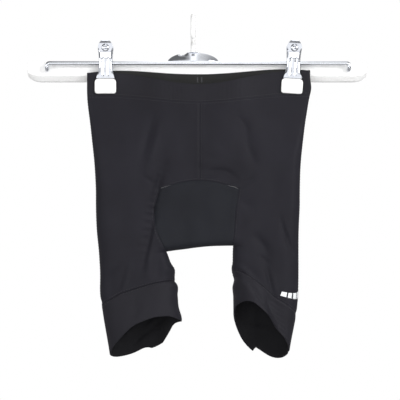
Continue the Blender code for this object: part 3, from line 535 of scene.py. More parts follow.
def lay_out(rows, columns, kept=None, ring=False):
    """Quads of a grid, as lines of four point numbers. kept is True for the cells that the piece has, and a
    ring's last column joins its first."""
    number = np.arange(rows * columns).reshape(rows, columns)
    if ring:
        number = np.concatenate([number, number[:, :1]], axis=1)
    quads = np.stack([number[:-1, :-1], number[:-1, 1:], number[1:, 1:], number[1:, :-1]], axis=-1)
    return quads[kept] if kept is not None else quads.reshape(-1, 4)


UV_UNIT = 10.0


def piece_of(name, points, faces, materials, flat=None, sharp=None, slot=None):
    """An object of the points and faces that rides on the body. flat gives each point's place on the flat
    cloth in millimetres, which becomes its UV map in centimetres."""
    mesh = bpy.data.meshes.new(name)
    if isinstance(faces, np.ndarray):
        used, numbers = np.unique(faces, return_inverse=True)
        faces = numbers.reshape(faces.shape).tolist()
        points = points.reshape(-1, 3)[used]
        flat = flat.reshape(-1, 2)[used] if flat is not None else None
    mesh.from_pydata(points.reshape(-1, 3).tolist(), [], faces)
    if flat is not None:
        corners = np.zeros(len(mesh.loops), int)
        mesh.loops.foreach_get("vertex_index", corners)
        layer = mesh.uv_layers.new(name="cloth")
        layer.data.foreach_set("uv", (flat[corners] / UV_UNIT).ravel())
    mesh.shade_smooth()
    if sharp is not None:
        mesh.set_sharp_from_angle(angle=math.radians(sharp))
    piece = bpy.data.objects.new(name, mesh)
    for finish in materials:
        mesh.materials.append(finish)
    bpy.context.scene.collection.objects.link(piece)
    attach(piece, "root")
    return piece


def flat_places(points, ring=False):
    """Each grid point's place on the flat cloth: the distance run along its row and down its column."""
    size = points / MM
    along = np.linalg.norm(np.diff(size, axis=1), axis=-1)
    downwards = np.linalg.norm(np.diff(size, axis=0), axis=-1)
    u = np.concatenate([np.zeros((size.shape[0], 1)), np.cumsum(along, axis=1)], axis=1)
    v = np.concatenate([np.zeros((1, size.shape[1])), np.cumsum(downwards, axis=0)], axis=0)
    return np.stack([u, -v], axis=-1)


def cloth(name, points, quads, thick, edge, materials, node, slot):
    """A piece of cloth: the skin thickened inwards, with rounded cut edges. It stands for its solid."""
    piece = piece_of(name, points, quads, materials, flat_places(points), slot=slot)
    wall = piece.modifiers.new("thickness", "SOLIDIFY")
    wall.thickness = thick * MM
    wall.offset = -1.0
    wall.material_offset = 1
    wall.use_even_offset = True
    soft = piece.modifiers.new("rounded_edges", "BEVEL")
    soft.width = edge * MM
    soft.segments = 3
    soft.limit_method = "ANGLE"
    soft.angle_limit = math.radians(55)
    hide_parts(node)
    return piece


def faced(quads, outward):
    """The quads with their fronts outwards: as they are, or turned over."""
    return quads if outward > 0 else quads[:, ::-1]


def build_panels(knit, inside):
    """Front and back panels of both halves: one grid from the side seam to the gusset seam down to the leg
    band, and on to the centre seam down to the gusset's top."""
    across = joined(LEG_ACROSS, TO_CENTRE)
    made = {}
    for side, side_name in SIDE_NAMES.items():
        for face, face_name in FACE_NAMES.items():
            down, body_rows = panel_levels(side, across, face)
            kept = np.ones((down.shape[0] - 1, down.shape[1] - 1), bool)
            kept[body_rows:, len(LEG_ACROSS) - 1 :] = False
            points = skin(side, np.broadcast_to(across, down.shape), down, face)
            quads = faced(lay_out(*down.shape, kept=kept), -side * face)
            node = f"{face_name}_{side_name}"
            made[node] = cloth(
                f"{node}_panel", points, quads, KNIT_THICK, 0.4, (knit, inside), node, "elastane_knit"
            )
    return made


def build_gusset(knit, inside):
    """The crotch panel, with the places across of the panels beside it."""
    half = 1 - (TO_CENTRE - 3)
    across = joined(-half, half[::-1])
    slope = joined(steps(-2, -1, CROTCH[LEFT] - CROTCH_ROUND - GUSSET_TOP), np.linspace(-1, 0, INNER_STEPS + 1))
    along = joined(slope, -slope[::-1])
    points = gusset_skin(*np.meshgrid(across, along))
    quads = faced(lay_out(len(along), len(across)), RIGHT)
    return cloth("gusset_panel", points, quads, KNIT_THICK, 0.4, (knit, inside), "crotch_gusset", "gusset_knit")


def ring(pairs, share, start, end):
    """Rows of points round the whole body or one leg. pairs lists side, places across and face in the order
    round the ring, and the rows lie at shares of the way from the start's level to the end's."""
    parts = []
    for side, across, face in pairs:
        low, high = start(side, across, face), end(side, across, face)
        level = np.broadcast_to(low + share[:, None] * (high - low), (len(share), len(across)))
        parts.append(skin(side, np.broadcast_to(across, level.shape), level, face))
    return np.concatenate(parts, axis=1)


def build_waistband(knit, inside):
    """The waist casing: right half front to the centre, left half out to its side, and round behind."""
    across = joined(LEG_ACROSS, TO_CENTRE)
    to_centre, to_side = across[:-1], across[::-1][:-1]
    pairs = ((RIGHT, to_centre, FRONT), (LEFT, to_side, FRONT), (LEFT, to_centre, BACK), (RIGHT, to_side, BACK))
    points = ring(pairs, steps(0, 1, WAISTBAND_DEEP), lambda *_: 0.0, lambda *_: WAISTBAND_DEEP)
    quads = faced(lay_out(*points.shape[:2], ring=True), RIGHT)
    return cloth("waistband_casing", points, quads, BAND_THICK, 0.7, (knit, inside), "waistband", "band_knit")


def build_hem_bands(knit, inside):
    """The band round each leg opening."""
    made = {}
    for side, side_name in SIDE_NAMES.items():
        pairs = ((side, LEG_ACROSS[:-1], FRONT), (side, LEG_ACROSS[::-1][:-1], BACK))
        points = ring(pairs, steps(0, 1, HEM[side] - BAND_SEAM[side]), band_seam, hem_edge)
        quads = faced(lay_out(*points.shape[:2], ring=True), side)
        node = f"hem_band_{side_name}"
        made[node] = cloth(
            f"leg_band_{side_name}", points, quads, BAND_THICK, 0.7, (knit, inside), node, "band_knit"
        )
    return made


def unit(vectors):
    """Vectors of length 1."""
    return vectors / np.linalg.norm(vectors, axis=-1, keepdims=True)


def outwards(surface, a, b, turned):
    """The outward direction of a surface of two parameters: the cross product of its two slopes."""
    step_a, step_b = 0.004, 0.3
    slope_a = surface(a + step_a, b) - surface(a - step_a, b)
    slope_b = surface(a, b + step_b) - surface(a, b - step_b)
    return unit(turned * np.cross(slope_a, slope_b))


def on_skin(side, across, down, face):
    """Points and outward directions along a line on the skin."""
    across, down = np.broadcast_arrays(np.asarray(across, float), np.asarray(down, float))
    out = outwards(lambda a, b: skin(side, a, b, face), across, down, -side * face)
    return skin(side, across, down, face), out


STITCH, STITCH_GAP, THREAD = 2.4, 0.9, 0.34
STITCH_RINGS, THREAD_SIDES = 5, 6


def stitches(line, out):
    """A row of running stitches along a line on the cloth. Each is a short tube whose radius and height follow a
    half sine, so that its ends dive into the cloth. Returns points and faces as arrays."""
    size = line / MM
    run = np.concatenate([[0], np.cumsum(np.linalg.norm(np.diff(size, axis=0), axis=1))])
    starts = np.arange(1.0, run[-1] - STITCH - 0.5, STITCH + STITCH_GAP)
    share = np.linspace(0, 1, STITCH_RINGS)
    spots = starts[:, None] + STITCH * share
    centre = np.stack([np.interp(spots, run, size[:, i]) for i in range(3)], axis=-1)
    normal = unit(np.stack([np.interp(spots, run, out[:, i]) for i in range(3)], axis=-1))
    ahead = unit(np.gradient(centre, axis=1))
    beside = unit(np.cross(ahead, normal))
    bulge = np.sin(math.pi * (0.12 + 0.76 * share))[:, None]
    centre = centre + normal * (THREAD * (bulge - 0.75))
    turn = np.linspace(0, 2 * math.pi, THREAD_SIDES, endpoint=False)
    round_it = np.cos(turn)[:, None] * beside[:, :, None] + np.sin(turn)[:, None] * normal[:, :, None]
    points = centre[:, :, None] + THREAD / 2 * bulge[:, None] * round_it
    return (points * MM).reshape(-1, 3), tube_quads(len(starts), STITCH_RINGS, THREAD_SIDES)


def tube_quads(count, rings, sides):
    """Quads of a number of tubes, each of rings of points one after another, with fans to close both ends."""
    number = np.arange(count * rings * sides).reshape(count, rings, sides)
    after = np.roll(number, -1, axis=2)
    walls = np.stack([number[:, :-1], after[:, :-1], after[:, 1:], number[:, 1:]], axis=-1).reshape(-1, 4)
    fan = np.arange(1, sides - 1, 2)
    ends = []
    for ring_number, order in ((number[:, 0], (3, 2, 1, 0)), (number[:, -1], (0, 1, 2, 3))):
        corners = np.stack([ring_number[:, [0] * len(fan)], ring_number[:, fan], ring_number[:, fan + 1],
                            ring_number[:, (fan + 2) % sides]], axis=-1)
        ends.append(corners.reshape(-1, 4)[:, list(order)])
    return np.concatenate([walls, *ends])


def gathered(parts):
    """Several sets of points and faces as one."""
    points, faces, count = [], [], 0
    for part_points, part_faces in parts:
        points.append(part_points)
        faces.append(part_faces + count)
        count += len(part_points)
    return np.concatenate(points), np.concatenate(faces)


ROW_BESIDE_SEAM = 1.9
LINE_POINTS = 400


def band_seam_line(side, lower):
    """Points and outward directions round a leg, a little lower or higher than the band's seam."""
    across = np.linspace(0.02, 2.98, LINE_POINTS)
    turns = ((across, FRONT), (across[::-1], BACK))
    parts = [on_skin(side, places, band_seam(side, places, face) + lower, face) for places, face in turns]
    return tuple(np.concatenate(pair) for pair in zip(*parts))


def waist_line(down):
    """Points and outward directions round the waist at a level."""
    across = np.linspace(0.02, 4, LINE_POINTS)
    turns = ((RIGHT, across, FRONT), (LEFT, across[::-1], FRONT), (LEFT, across, BACK), (RIGHT, across[::-1], BACK))
    parts = [on_skin(side, places, down, face) for side, places, face in turns]
    return tuple(np.concatenate(pair) for pair in zip(*parts))


def build_stitching(thread):
    """Two rows of running stitches along the waist, leg band, centre, side seams and inseams, one on each side of the
    seam; along the gusset's top and sides a single row, on the panels' side.
    """
    rows = {"waist": [], "centre": [], "gusset": [], "side_seam": [], "inseam": [], "leg_band": []}
    for offset in (-ROW_BESIDE_SEAM, ROW_BESIDE_SEAM):
        rows["waist"].append(stitches(*waist_line(WAISTBAND_DEEP + offset)))
    level = np.linspace(0, 1, LINE_POINTS)
    for side in (LEFT, RIGHT):
        for offset in (-ROW_BESIDE_SEAM, ROW_BESIDE_SEAM):
            rows["leg_band"].append(stitches(*band_seam_line(side, offset)))
        half_gusset = np.abs(through(HALVES[side], "inner", np.array([GUSSET_TOP]))[0] - CENTRE_SEAM_X)
        for face in (FRONT, BACK):
            body = WAISTBAND_DEEP + 2 + level * (GUSSET_TOP - GUSSET_ARCH - WAISTBAND_DEEP - 4)
            rows["centre"].append(stitches(*on_skin(side, 4 - ROW_BESIDE_SEAM / half_gusset, body, face)))
            across = 3 + level
            above = gusset_top(across) - ROW_BESIDE_SEAM
            rows["gusset"].append(stitches(*on_skin(side, across, above, face)))
            leg = GUSSET_TOP + level * (CROTCH[side] - CROTCH_ROUND - GUSSET_TOP)
            beside = 3 - ROW_BESIDE_SEAM / through(HALVES[side], "round", leg)
            rows["gusset"].append(stitches(*on_skin(side, beside, leg, face)))
            side_fold = WAISTBAND_DEEP + 2 + level * (BAND_SEAM[side] - WAISTBAND_DEEP - 4)
            depth = through(HALVES[side], "front", side_fold)
            near = 2 / math.pi * np.arcsin(ROW_BESIDE_SEAM / depth)
            rows["side_seam"].append(stitches(*on_skin(side, near, side_fold, face)))
            inner = CROTCH[side] + 2 + level * (BAND_SEAM[side] - CROTCH[side] - 4)
            depth = through(HALVES[side], "front", inner)
            near = 3 - 2 / math.pi * np.arcsin(ROW_BESIDE_SEAM / depth)
            rows["inseam"].append(stitches(*on_skin(side, near, inner, face)))
    return [piece_of(f"{name}_stitches", *gathered(parts), (thread,)) for name, parts in rows.items()]


def tube(path, radius, sides):
    """A round tube along a path of points: rings about it in the plane across its direction. Returns points and
    faces as arrays."""
    ahead = unit(np.gradient(path, axis=0))
    reference = unit(np.array([1.0, 0.9, 0.8]))
    beside = unit(np.cross(ahead, reference))
    other = np.cross(ahead, beside)
    turn = np.linspace(0, 2 * math.pi, sides, endpoint=False)
    round_it = np.cos(turn)[:, None] * beside[:, None] + np.sin(turn)[:, None] * other[:, None]
    radius = np.broadcast_to(radius, len(path))[:, None, None]
    points = path[:, None] + radius * round_it
    return points.reshape(-1, 3), tube_quads(1, len(path), sides)


BAR_TACK_WIDE, BAR_TACK_HIGH, BAR_TACK_TURNS = 4.6, 6.4, 7


def build_bar_tack(thread):
    """A zigzag bar tack of grey thread on the inner face of the back casing, where its ends are joined."""
    t = np.linspace(0, 1, 12 * BAR_TACK_TURNS)
    swing = 2 / math.pi * np.arcsin(np.sin(2 * math.pi * BAR_TACK_TURNS * t))
    level = 3.5 + t * BAR_TACK_HIGH
    parts = []
    for middle in (-BAR_TACK_WIDE / 2, BAR_TACK_WIDE / 2):
        across = 4 - np.abs(middle) / 46 + 0 * t
        line, out = on_skin(LEFT if middle > 0 else RIGHT, across - 0.022 * swing, level, BACK)
        parts.append(tube(line - out * (BAND_THICK + 0.05) * MM, 0.17 * MM, 6))
    return piece_of("casing_bar_tack", *gathered(parts), (thread,))


DASHES = ((0.0, 0.19), (0.24, 0.4), (0.46, 0.66), (0.71, 0.82), (0.87, 1.0))
DASHES_INNER, DASHES_OUTER = (0.95, 251.2), (0.04, 237.4)
DASH_HIGH, FILM_THICK = 6.2, 0.12


def build_reflective_dashes(film):
    """A row of plain reflective dashes on the outer side of the left leg, above its band: grids laid on the
    skin, whose two parameters are the share of the way between the row's two ends and the height."""
    inner, outer = np.array(DASHES_INNER), np.array(DASHES_OUTER)
    parts = []
    for start, end in DASHES:
        share, below = np.meshgrid(np.linspace(start, end, 10), np.linspace(0, DASH_HIGH, 8))
        grid = inner[0] + share * (outer[0] - inner[0])
        down = inner[1] + share * (outer[1] - inner[1]) + below
        points, out = on_skin(LEFT, grid, down, FRONT)
        parts.append(((points + out * FILM_THICK * MM).reshape(-1, 3), lay_out(*grid.shape)))
    piece = piece_of("reflective_dashes", *gathered(parts), (film,))
    wall = piece.modifiers.new("film", "SOLIDIFY")
    wall.thickness = FILM_THICK * MM
    wall.offset = -1.0
    return piece


# Hanger, as its solids have it
BAR_LENGTH, BAR_DEEP, BAR_TOP, BAR_BOTTOM, BAR_FRONT = 400.0, 12.0, 13.0, -9.0, 7.0
BAR_CHAMFER, BAR_EDGE = 6.5, 1.1
BAR_END_TOP, BAR_END_UNDER = (3.0, 2.6), (17.0, 8.6)
ROD_RADIUS, ROD_Z, ROD_END_Z, ROD_HALF_LENGTH, ROD_BEND = 2.3, 11.6, 4.2, 177.0, 3.6
ROD_IN_BAR = 5.0
CAP_X, CAP_WIDE, CAP_DEEP, CAP_TALL = -5.9, 61.0, 19.0, 12.6
CAP_NOTCH_X, CAP_NOTCH_WIDE, CAP_NOTCH_DEEP = -11.7, 4.3, 2.0
HOOK_RADIUS, HOOK_LOOP, HOOK_TIP_ANGLE, HOOK_START_ANGLE = 3.0, 18.0, 215.0, -20.0
HOOK_NECK, HOOK_LOW = 0.85, 1.35
BAR_MIDDLE = BAR_FRONT + BAR_DEEP / 2
PAD_TOP, PAD_BOTTOM, PAD_THICK, PAD_ROUND = -7.0, -24.5, 3.4, 3.5
RIVET_Z, RIVET_HEAD, RIVET_PIN = 29.0, 9.0, 3.0
CLEAR = 0.3


def rounded_outline(corners, radius, count=5):
    """An outline with a quarter-like arc in place of each corner: a quadratic curve from one side to the next,
    starting and ending a radius away from the corner."""
    corners = np.array(corners, float)
    before, after = np.roll(corners, 1, axis=0), np.roll(corners, -1, axis=0)
    radius = np.broadcast_to(np.asarray(radius, float), len(corners))[:, None]
    start = corners + unit(before - corners) * radius
    end = corners + unit(after - corners) * radius
    t = np.linspace(0, 1, count)[None, :, None]
    arcs = (1 - t) ** 2 * start[:, None] + 2 * t * (1 - t) * corners[:, None] + t**2 * end[:, None]
    return arcs.reshape(-1, 2)


def hung(points):
    """Points given from the garment's middle and waist edge, in metres under the hook."""
    return (np.asarray(points) + HUNG) * MM


def build_bar(plastic):
    """The bar: its section, with the chamfer under the front, carried along X. Towards an end its top and its
    underside follow quarter ellipses, and at the end itself the section draws in by a small edge round."""
    low, high = BAR_BOTTOM, BAR_TOP
    front, back = BAR_FRONT, BAR_FRONT + BAR_DEEP
    section = rounded_outline(
        ((front, high), (front, low + BAR_CHAMFER), (front + BAR_CHAMFER, low), (back, low), (back, high)), BAR_EDGE
    )
    middle = np.array((BAR_MIDDLE, (low + high) / 2))
    half = BAR_LENGTH / 2
    edge_round = BAR_EDGE * (1 - np.cos(np.linspace(0, math.pi / 2, 6)))
    end_round = np.linspace(BAR_EDGE, BAR_END_UNDER[0], 24)[1:]
    from_end = np.concatenate([edge_round, end_round, np.linspace(19, half, 60)])
    x = np.concatenate([-1 - half + from_end, (-1 + half - from_end)[::-1][1:]])
    end = half - np.abs(x + 1)
    top, under = (
        size * (1 - np.sqrt(1 - (1 - np.clip(end / reach, 0, 1)) ** 2)) for reach, size in (BAR_END_TOP, BAR_END_UNDER)
    )
    tall = 1 - (top + under) / (high - low)
    inset = BAR_EDGE - np.sqrt(BAR_EDGE**2 - (BAR_EDGE - np.clip(end, 0, BAR_EDGE)) ** 2)
    away = section - middle
    y = middle[0] + away[:, 0] * (1 - inset / (BAR_DEEP / 2))[:, None]
    z = (middle[1] + (under - top) / 2)[:, None] + away[:, 1] * (tall - inset / ((high - low) / 2))[:, None]
    points = np.stack([np.broadcast_to(x[:, None], y.shape), y, z], axis=-1)
    quads = tube_quads(1, len(x), len(section))
    piece = piece_of("bar_moulding", hung(points), quads, (plastic,), sharp=35, slot="white_plastic")
    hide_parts("hanger_bar")


def quarter(corner, start, end, count):
    """Points of a quarter arc about a corner, from its offset start to its offset end."""
    turn = np.linspace(0, math.pi / 2, count)[:, None]
    return np.array(corner) + np.cos(turn) * np.array(start) + np.sin(turn) * np.array(end)


def build_rod(chrome):
    """The chromed rod: a tube out of one socket of the bar, up, along and back into the other."""
    reach, bend, top = ROD_HALF_LENGTH, ROD_BEND, ROD_Z
    back = np.array([(reach, y, ROD_END_Z) for y in np.linspace(BAR_FRONT + ROD_IN_BAR - CLEAR, bend, 6)])
    up = quarter((reach, bend, ROD_END_Z + bend), (0, 0, -bend), (0, -bend, 0), 10)[1:]
    over = quarter((reach - bend, 0, top - bend), (bend, 0, 0), (0, 0, bend), 10)
    straight = np.array([(x, 0, top) for x in np.linspace(reach - bend, 0, 30)])[1:]
    half = np.concatenate([back, up, over, straight])
    path = np.concatenate([half, (half * (-1, 1, 1))[::-1][1:]])
    keep = np.concatenate([[True], np.linalg.norm(np.diff(path, axis=0), axis=1) > 0.05])
    piece = piece_of("rod_wire", *tube(hung(path[keep]), ROD_RADIUS * MM, 24), (chrome,), sharp=40, slot="chrome")
    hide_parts("hanger_rod")


def lathe(profile, count):
    """A turned surface about Z. profile's rows are (radius, height), from the axis round to the axis again.
    Returns points in a grid and its quads."""
    profile = np.array(profile, float)
    turn = np.linspace(0, 2 * math.pi, count, endpoint=False)[:, None]
    points = np.stack([profile[:, 0] * np.cos(turn), profile[:, 0] * np.sin(turn), profile[:, 1] + 0 * turn], axis=-1)
    return points, lay_out(len(profile), count, ring=True)


def build_cap(chrome):
    """The domed cap: half an ellipsoid with a rolled rim, a hole for the hook's stem and a shallow notch in its
    crown to the right, whose depth falls off as an eighth power."""
    angle = np.linspace(0.06, math.pi / 2, 24)[::-1]
    stem = (HOOK_RADIUS + CLEAR) / (CAP_WIDE / 2)
    angle = angle[np.cos(angle) > stem]
    wide = CAP_WIDE / 2
    dome = [(np.cos(a), np.sin(a)) for a in angle]
    rim = [(1.0, 0.03), (1.0, 0.0), (0.97, 0.0)]
    profile = np.array([(0.0, 0.0), *rim[::-1], *dome[::-1], (stem, math.sqrt(1 - stem**2)), (stem, 0.5), (0.0, 0.5)])
    turn = np.linspace(0, 2 * math.pi, 96, endpoint=False)
    radius, height = profile[:, :1], profile[:, 1:]
    squash = np.where(radius > 0, 1, 0) * CAP_DEEP / 2
    round_stem = np.clip((radius - stem) / 0.25, 0, 1)
    deep = round_stem * squash + (1 - round_stem) * wide
    across = radius * wide * np.cos(turn)
    notch = CAP_NOTCH_DEEP * np.exp(-(((across - CAP_NOTCH_X) / CAP_NOTCH_WIDE) ** 8)) * eased((height - 0.55) / 0.25)
    points = np.stack([across, radius * deep * np.sin(turn), height * CAP_TALL - notch], axis=-1)
    points = points + np.array((CAP_X, BAR_MIDDLE, BAR_TOP + CLEAR))
    piece = piece_of("cap_dome", hung(points), lay_out(len(profile), 96, ring=True), (chrome,), sharp=40, slot="chrome")
    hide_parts("hanger_cap")


def build_hook(plastic):
    """The hook: a stem out of the cap, a swan neck on a cubic curve, and a loop of a circle open to the front,
    with a rounded tip."""
    centre_z = -HUNG[2] + HOOK_RADIUS - HOOK_LOOP
    angle = np.radians(np.linspace(HOOK_START_ANGLE, HOOK_TIP_ANGLE, 60))
    loop = np.stack([BAR_MIDDLE + HOOK_LOOP * np.cos(angle), centre_z + HOOK_LOOP * np.sin(angle)], axis=-1)
    neck = HOOK_LOOP * HOOK_NECK
    start, end = np.array((BAR_MIDDLE, centre_z - HOOK_LOOP * HOOK_LOW)), loop[0]
    leave, arrive = start + np.array((0, neck * 0.8)), end + np.array((-0.34, -0.94)) * neck * 0.75
    t = np.linspace(0, 1, 24)[:, None]
    bend = (1 - t) ** 3 * start + 3 * t * (1 - t) ** 2 * leave + 3 * t**2 * (1 - t) * arrive + t**3 * end
    stem = np.stack([np.full(8, BAR_MIDDLE), np.linspace(BAR_TOP + 2 * CLEAR, start[1], 8)], axis=-1)
    flat = np.concatenate([stem[:-1], bend[:-1], loop])
    path = np.concatenate([np.full((len(flat), 1), CAP_X), flat], axis=1)
    run = np.concatenate([[0], np.cumsum(np.linalg.norm(np.diff(path, axis=0), axis=1))])
    to_tip = np.clip((run[-1] - run) / HOOK_RADIUS, 0.02, 1)
    radius = HOOK_RADIUS * np.sqrt(1 - (1 - to_tip) ** 2) * MM
    piece = piece_of("hook_moulding", *tube(hung(path), radius, 28), (plastic,), sharp=40, slot="white_plastic")
    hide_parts("hanger_hook")


LEAF_AT_RIVET = 5.5
LEAF_COLUMNS = ("down", "ahead", "half_wide")
# Outer face of a clip's front leaf from top to bottom: height above the waist edge with its sign turned, distance
# before the cloth's plane, half width
LEAF = (
    (-38.8, 6.3, 8.7),
    (-37.2, 5.9, 8.7),
    (-34.2, LEAF_AT_RIVET, 8.7),
    (-29.0, LEAF_AT_RIVET, 8.7),
    (-23.8, LEAF_AT_RIVET, 8.2),
    (-17.0, 4.0, 7.9),
    (-12.0, 3.7, 7.9),
    (-6.0, 3.9, 8.1),
    (0.0, 4.6, 8.8),
    (4.0, 4.9, 10.0),
    (6.7, 5.0, 10.8),
)
LEAF_THICK, HEAD_TALL = 1.0, 9.8
RIB_X, RIB_WIDE, RIB_DEEP, RIB_TOP, RIB_BOTTOM = 2.9, 0.8, 0.6, 19.0, -5.0
FLANGE_DEEP = 1.8


def tilted(points, side):
    """Points of a clip at the garment's middle, turned about its pivot on the rod and moved to its place."""
    turn = math.radians(CLIP_TILT[side])
    x, y, z = np.moveaxis(np.asarray(points, float), -1, 0)
    z = z - ROD_Z
    x, z = x * math.cos(turn) + z * math.sin(turn), z * math.cos(turn) - x * math.sin(turn)
    return hung(np.stack([x + CLIP_X[side], y, z + ROD_Z], axis=-1))


def leaf_face(across, level, face):
    """A pressed leaf: the table's side view and width, a half-ellipse head above the rivet, two sunk ribs as
    bell curves across, and both long edges turned back by a power of the distance from the middle."""
    table = columns_of(LEAF_COLUMNS, LEAF)
    half_wide = np.interp(level, table["down"], table["half_wide"])
    half_wide = half_wide * np.sqrt(1 - np.clip((-level - RIVET_Z) / HEAD_TALL, 0, 0.999) ** 2)
    ahead = np.interp(level, table["down"], table["ahead"])
    x = across * half_wide
    along_rib = eased((RIB_TOP + level) / 3) * eased((-RIB_BOTTOM - level) / 3)
    ahead = ahead - RIB_DEEP * along_rib * bell(np.abs(x) - RIB_X, RIB_WIDE)
    flange = eased((level + 29) / 7) * eased((3 - level) / 6)
    ahead = ahead - FLANGE_DEEP * flange * np.abs(across) ** 10
    return np.stack([x, face * ahead, -level], axis=-1)


def build_clips(chrome, plastic):
    """Two clips: each has two pressed leaves on a hollow rivet, and two moulded pads."""
    head = -RIVET_Z - HEAD_TALL * np.cos(np.linspace(0, math.pi / 2, 24))
    level = np.concatenate([head, np.linspace(-28.5, 6.7, 72)])
    grid_across, grid_level = np.meshgrid(np.linspace(-1, 1, 49), level)
    for side, side_name in SIDE_NAMES.items():
        for face, face_name in FACE_NAMES.items():
            points = tilted(leaf_face(grid_across, grid_level, face), side)
            quads = faced(lay_out(*grid_level.shape), face)
            name = f"clip_{face_name}_leaf_{side_name}"
            leaf = piece_of(name, points, quads, (chrome,), slot="chrome")
            wall = leaf.modifiers.new("sheet_steel", "SOLIDIFY")
            wall.thickness = LEAF_THICK * MM
            wall.offset = -1.0
            edge = leaf.modifiers.new("rolled_edges", "BEVEL")
            edge.width = 0.3 * MM
            edge.segments = 2
            edge.limit_method = "ANGLE"
            edge.angle_limit = math.radians(60)
            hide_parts(f"clip_leaf_{face_name}_{side_name}")
            build_pad(side, side_name, face, face_name, plastic)
        build_rivet(side, side_name, chrome)


PAD_LOFT_COLUMNS = ("inset", "ahead")
# From the middle of the pad's back over its edge to the middle of its front: how far in from the outline, and
# how far from the back
PAD_LOFT = (
    (8.6, 0.0), (4.0, 0.0), (0.6, 0.0), (0.15, 0.15), (0.0, 0.5), (0.0, 1.6), (0.12, 2.3), (0.5, 2.9), (1.1, 3.2),
    (2.2, 3.32), (4.5, 3.38), (8.6, 3.4),
)


def build_pad(side, side_name, face, face_name, plastic):
    """A moulded pad: its rounded outline lofted through the table, so that its front is slightly crowned."""
    half_wide, middle = PAD_WIDE / 2, (PAD_TOP + PAD_BOTTOM) / 2
    half_tall = (PAD_TOP - PAD_BOTTOM) / 2
    corners = ((-half_wide, half_tall), (-half_wide, -half_tall), (half_wide, -half_tall), (half_wide, half_tall))
    outline = rounded_outline(corners, (PAD_ROUND + 1.5, PAD_ROUND, PAD_ROUND, PAD_ROUND + 1.5), 9)
    loft = columns_of(PAD_LOFT_COLUMNS, PAD_LOFT)
    x = outline[:, 0] * (1 - loft["inset"] / half_wide)[:, None]
    z = outline[:, 1] * (1 - loft["inset"] / half_tall)[:, None] + middle
    y = face * (PRESSED + CLEAR + loft["ahead"] * PAD_THICK / 3.4)[:, None] + 0 * x
    points = tilted(np.stack([x, y, z], axis=-1), side)
    quads = tube_quads(1, len(PAD_LOFT), len(outline))
    piece = piece_of(f"clip_{face_name}_cushion_{side_name}", points, faced(quads, -face), (plastic,), sharp=50,
                     slot="pad_plastic")
    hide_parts(f"clip_pad_{face_name}_{side_name}")


# Half section of a rivet's head: radius and height above the leaf
RIVET_HEAD = (
    (0.0, 0.5), (1.1, 0.55), (1.5, 1.0), (2.0, 1.5), (2.7, 1.6), (3.4, 1.35), (4.1, 0.8), (4.5, 0.1), (4.4, 0.0)
)


def build_rivet(side, side_name, chrome):
    """A hollow rivet: a head with a raised ring at both ends of a thin shank, turned about Y."""
    seat = LEAF_AT_RIVET + CLEAR
    top = [(r, seat + h) for r, h in RIVET_HEAD + ((RIVET_PIN / 2, 0.0),)]
    profile = top + [(r, -h) for r, h in top[::-1]]
    points, quads = lathe(profile, 40)
    points = np.swapaxes(points, 0, 1)[..., [0, 2, 1]] + np.array((0, 0, RIVET_Z))
    piece = piece_of(f"clip_hollow_rivet_{side_name}", tilted(points, side), quads, (chrome,), sharp=50, slot="chrome")
    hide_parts(f"clip_rivet_{side_name}")


def linear(colour, alpha=1.0):
    """An sRGB hex colour such as 8a8f94 as linear values."""
    values = [int(colour[i : i + 2], 16) / 255 for i in (0, 2, 4)]
    return (*(v / 12.92 if v <= 0.04045 else ((v + 0.055) / 1.055) ** 2.4 for v in values), alpha)


def add_node(tree, kind, inputs=None, **settings):
    """Adds a node with its settings. An input that is given a socket is linked, and any other value is set."""
    made = tree.nodes.new(kind)
    for name, value in settings.items():
        setattr(made, name, value)
    for name, value in (inputs or {}).items():
        if isinstance(value, bpy.types.NodeSocket):
            tree.links.new(value, made.inputs[name])
        else:
            made.inputs[name].default_value = value
    return made


def new_material(name, **values):
    """A Principled material with its constant values set on the shader's own sockets."""
    made = bpy.data.materials.new(name)
    made.use_nodes = True
    shader = made.node_tree.nodes["Principled BSDF"]
    for socket, value in values.items():
        shader.inputs[socket.replace("_", " ")].default_value = value
    return made, made.node_tree, shader


def mixed(tree, share, first, second):
    """The output of a colour mix."""
    return add_node(tree, "ShaderNodeMix", {0: share, 6: first, 7: second}, data_type="RGBA").outputs[2]


# A wave texture on bands has 20 / (2 pi) bands to a unit of its coordinate at scale 1
BANDS_PER_UNIT = 20 / (2 * math.pi)


# From rib to rib, of the panels' and of the bands' knit
LEG_RIB, BAND_RIB = 0.9, 1.1


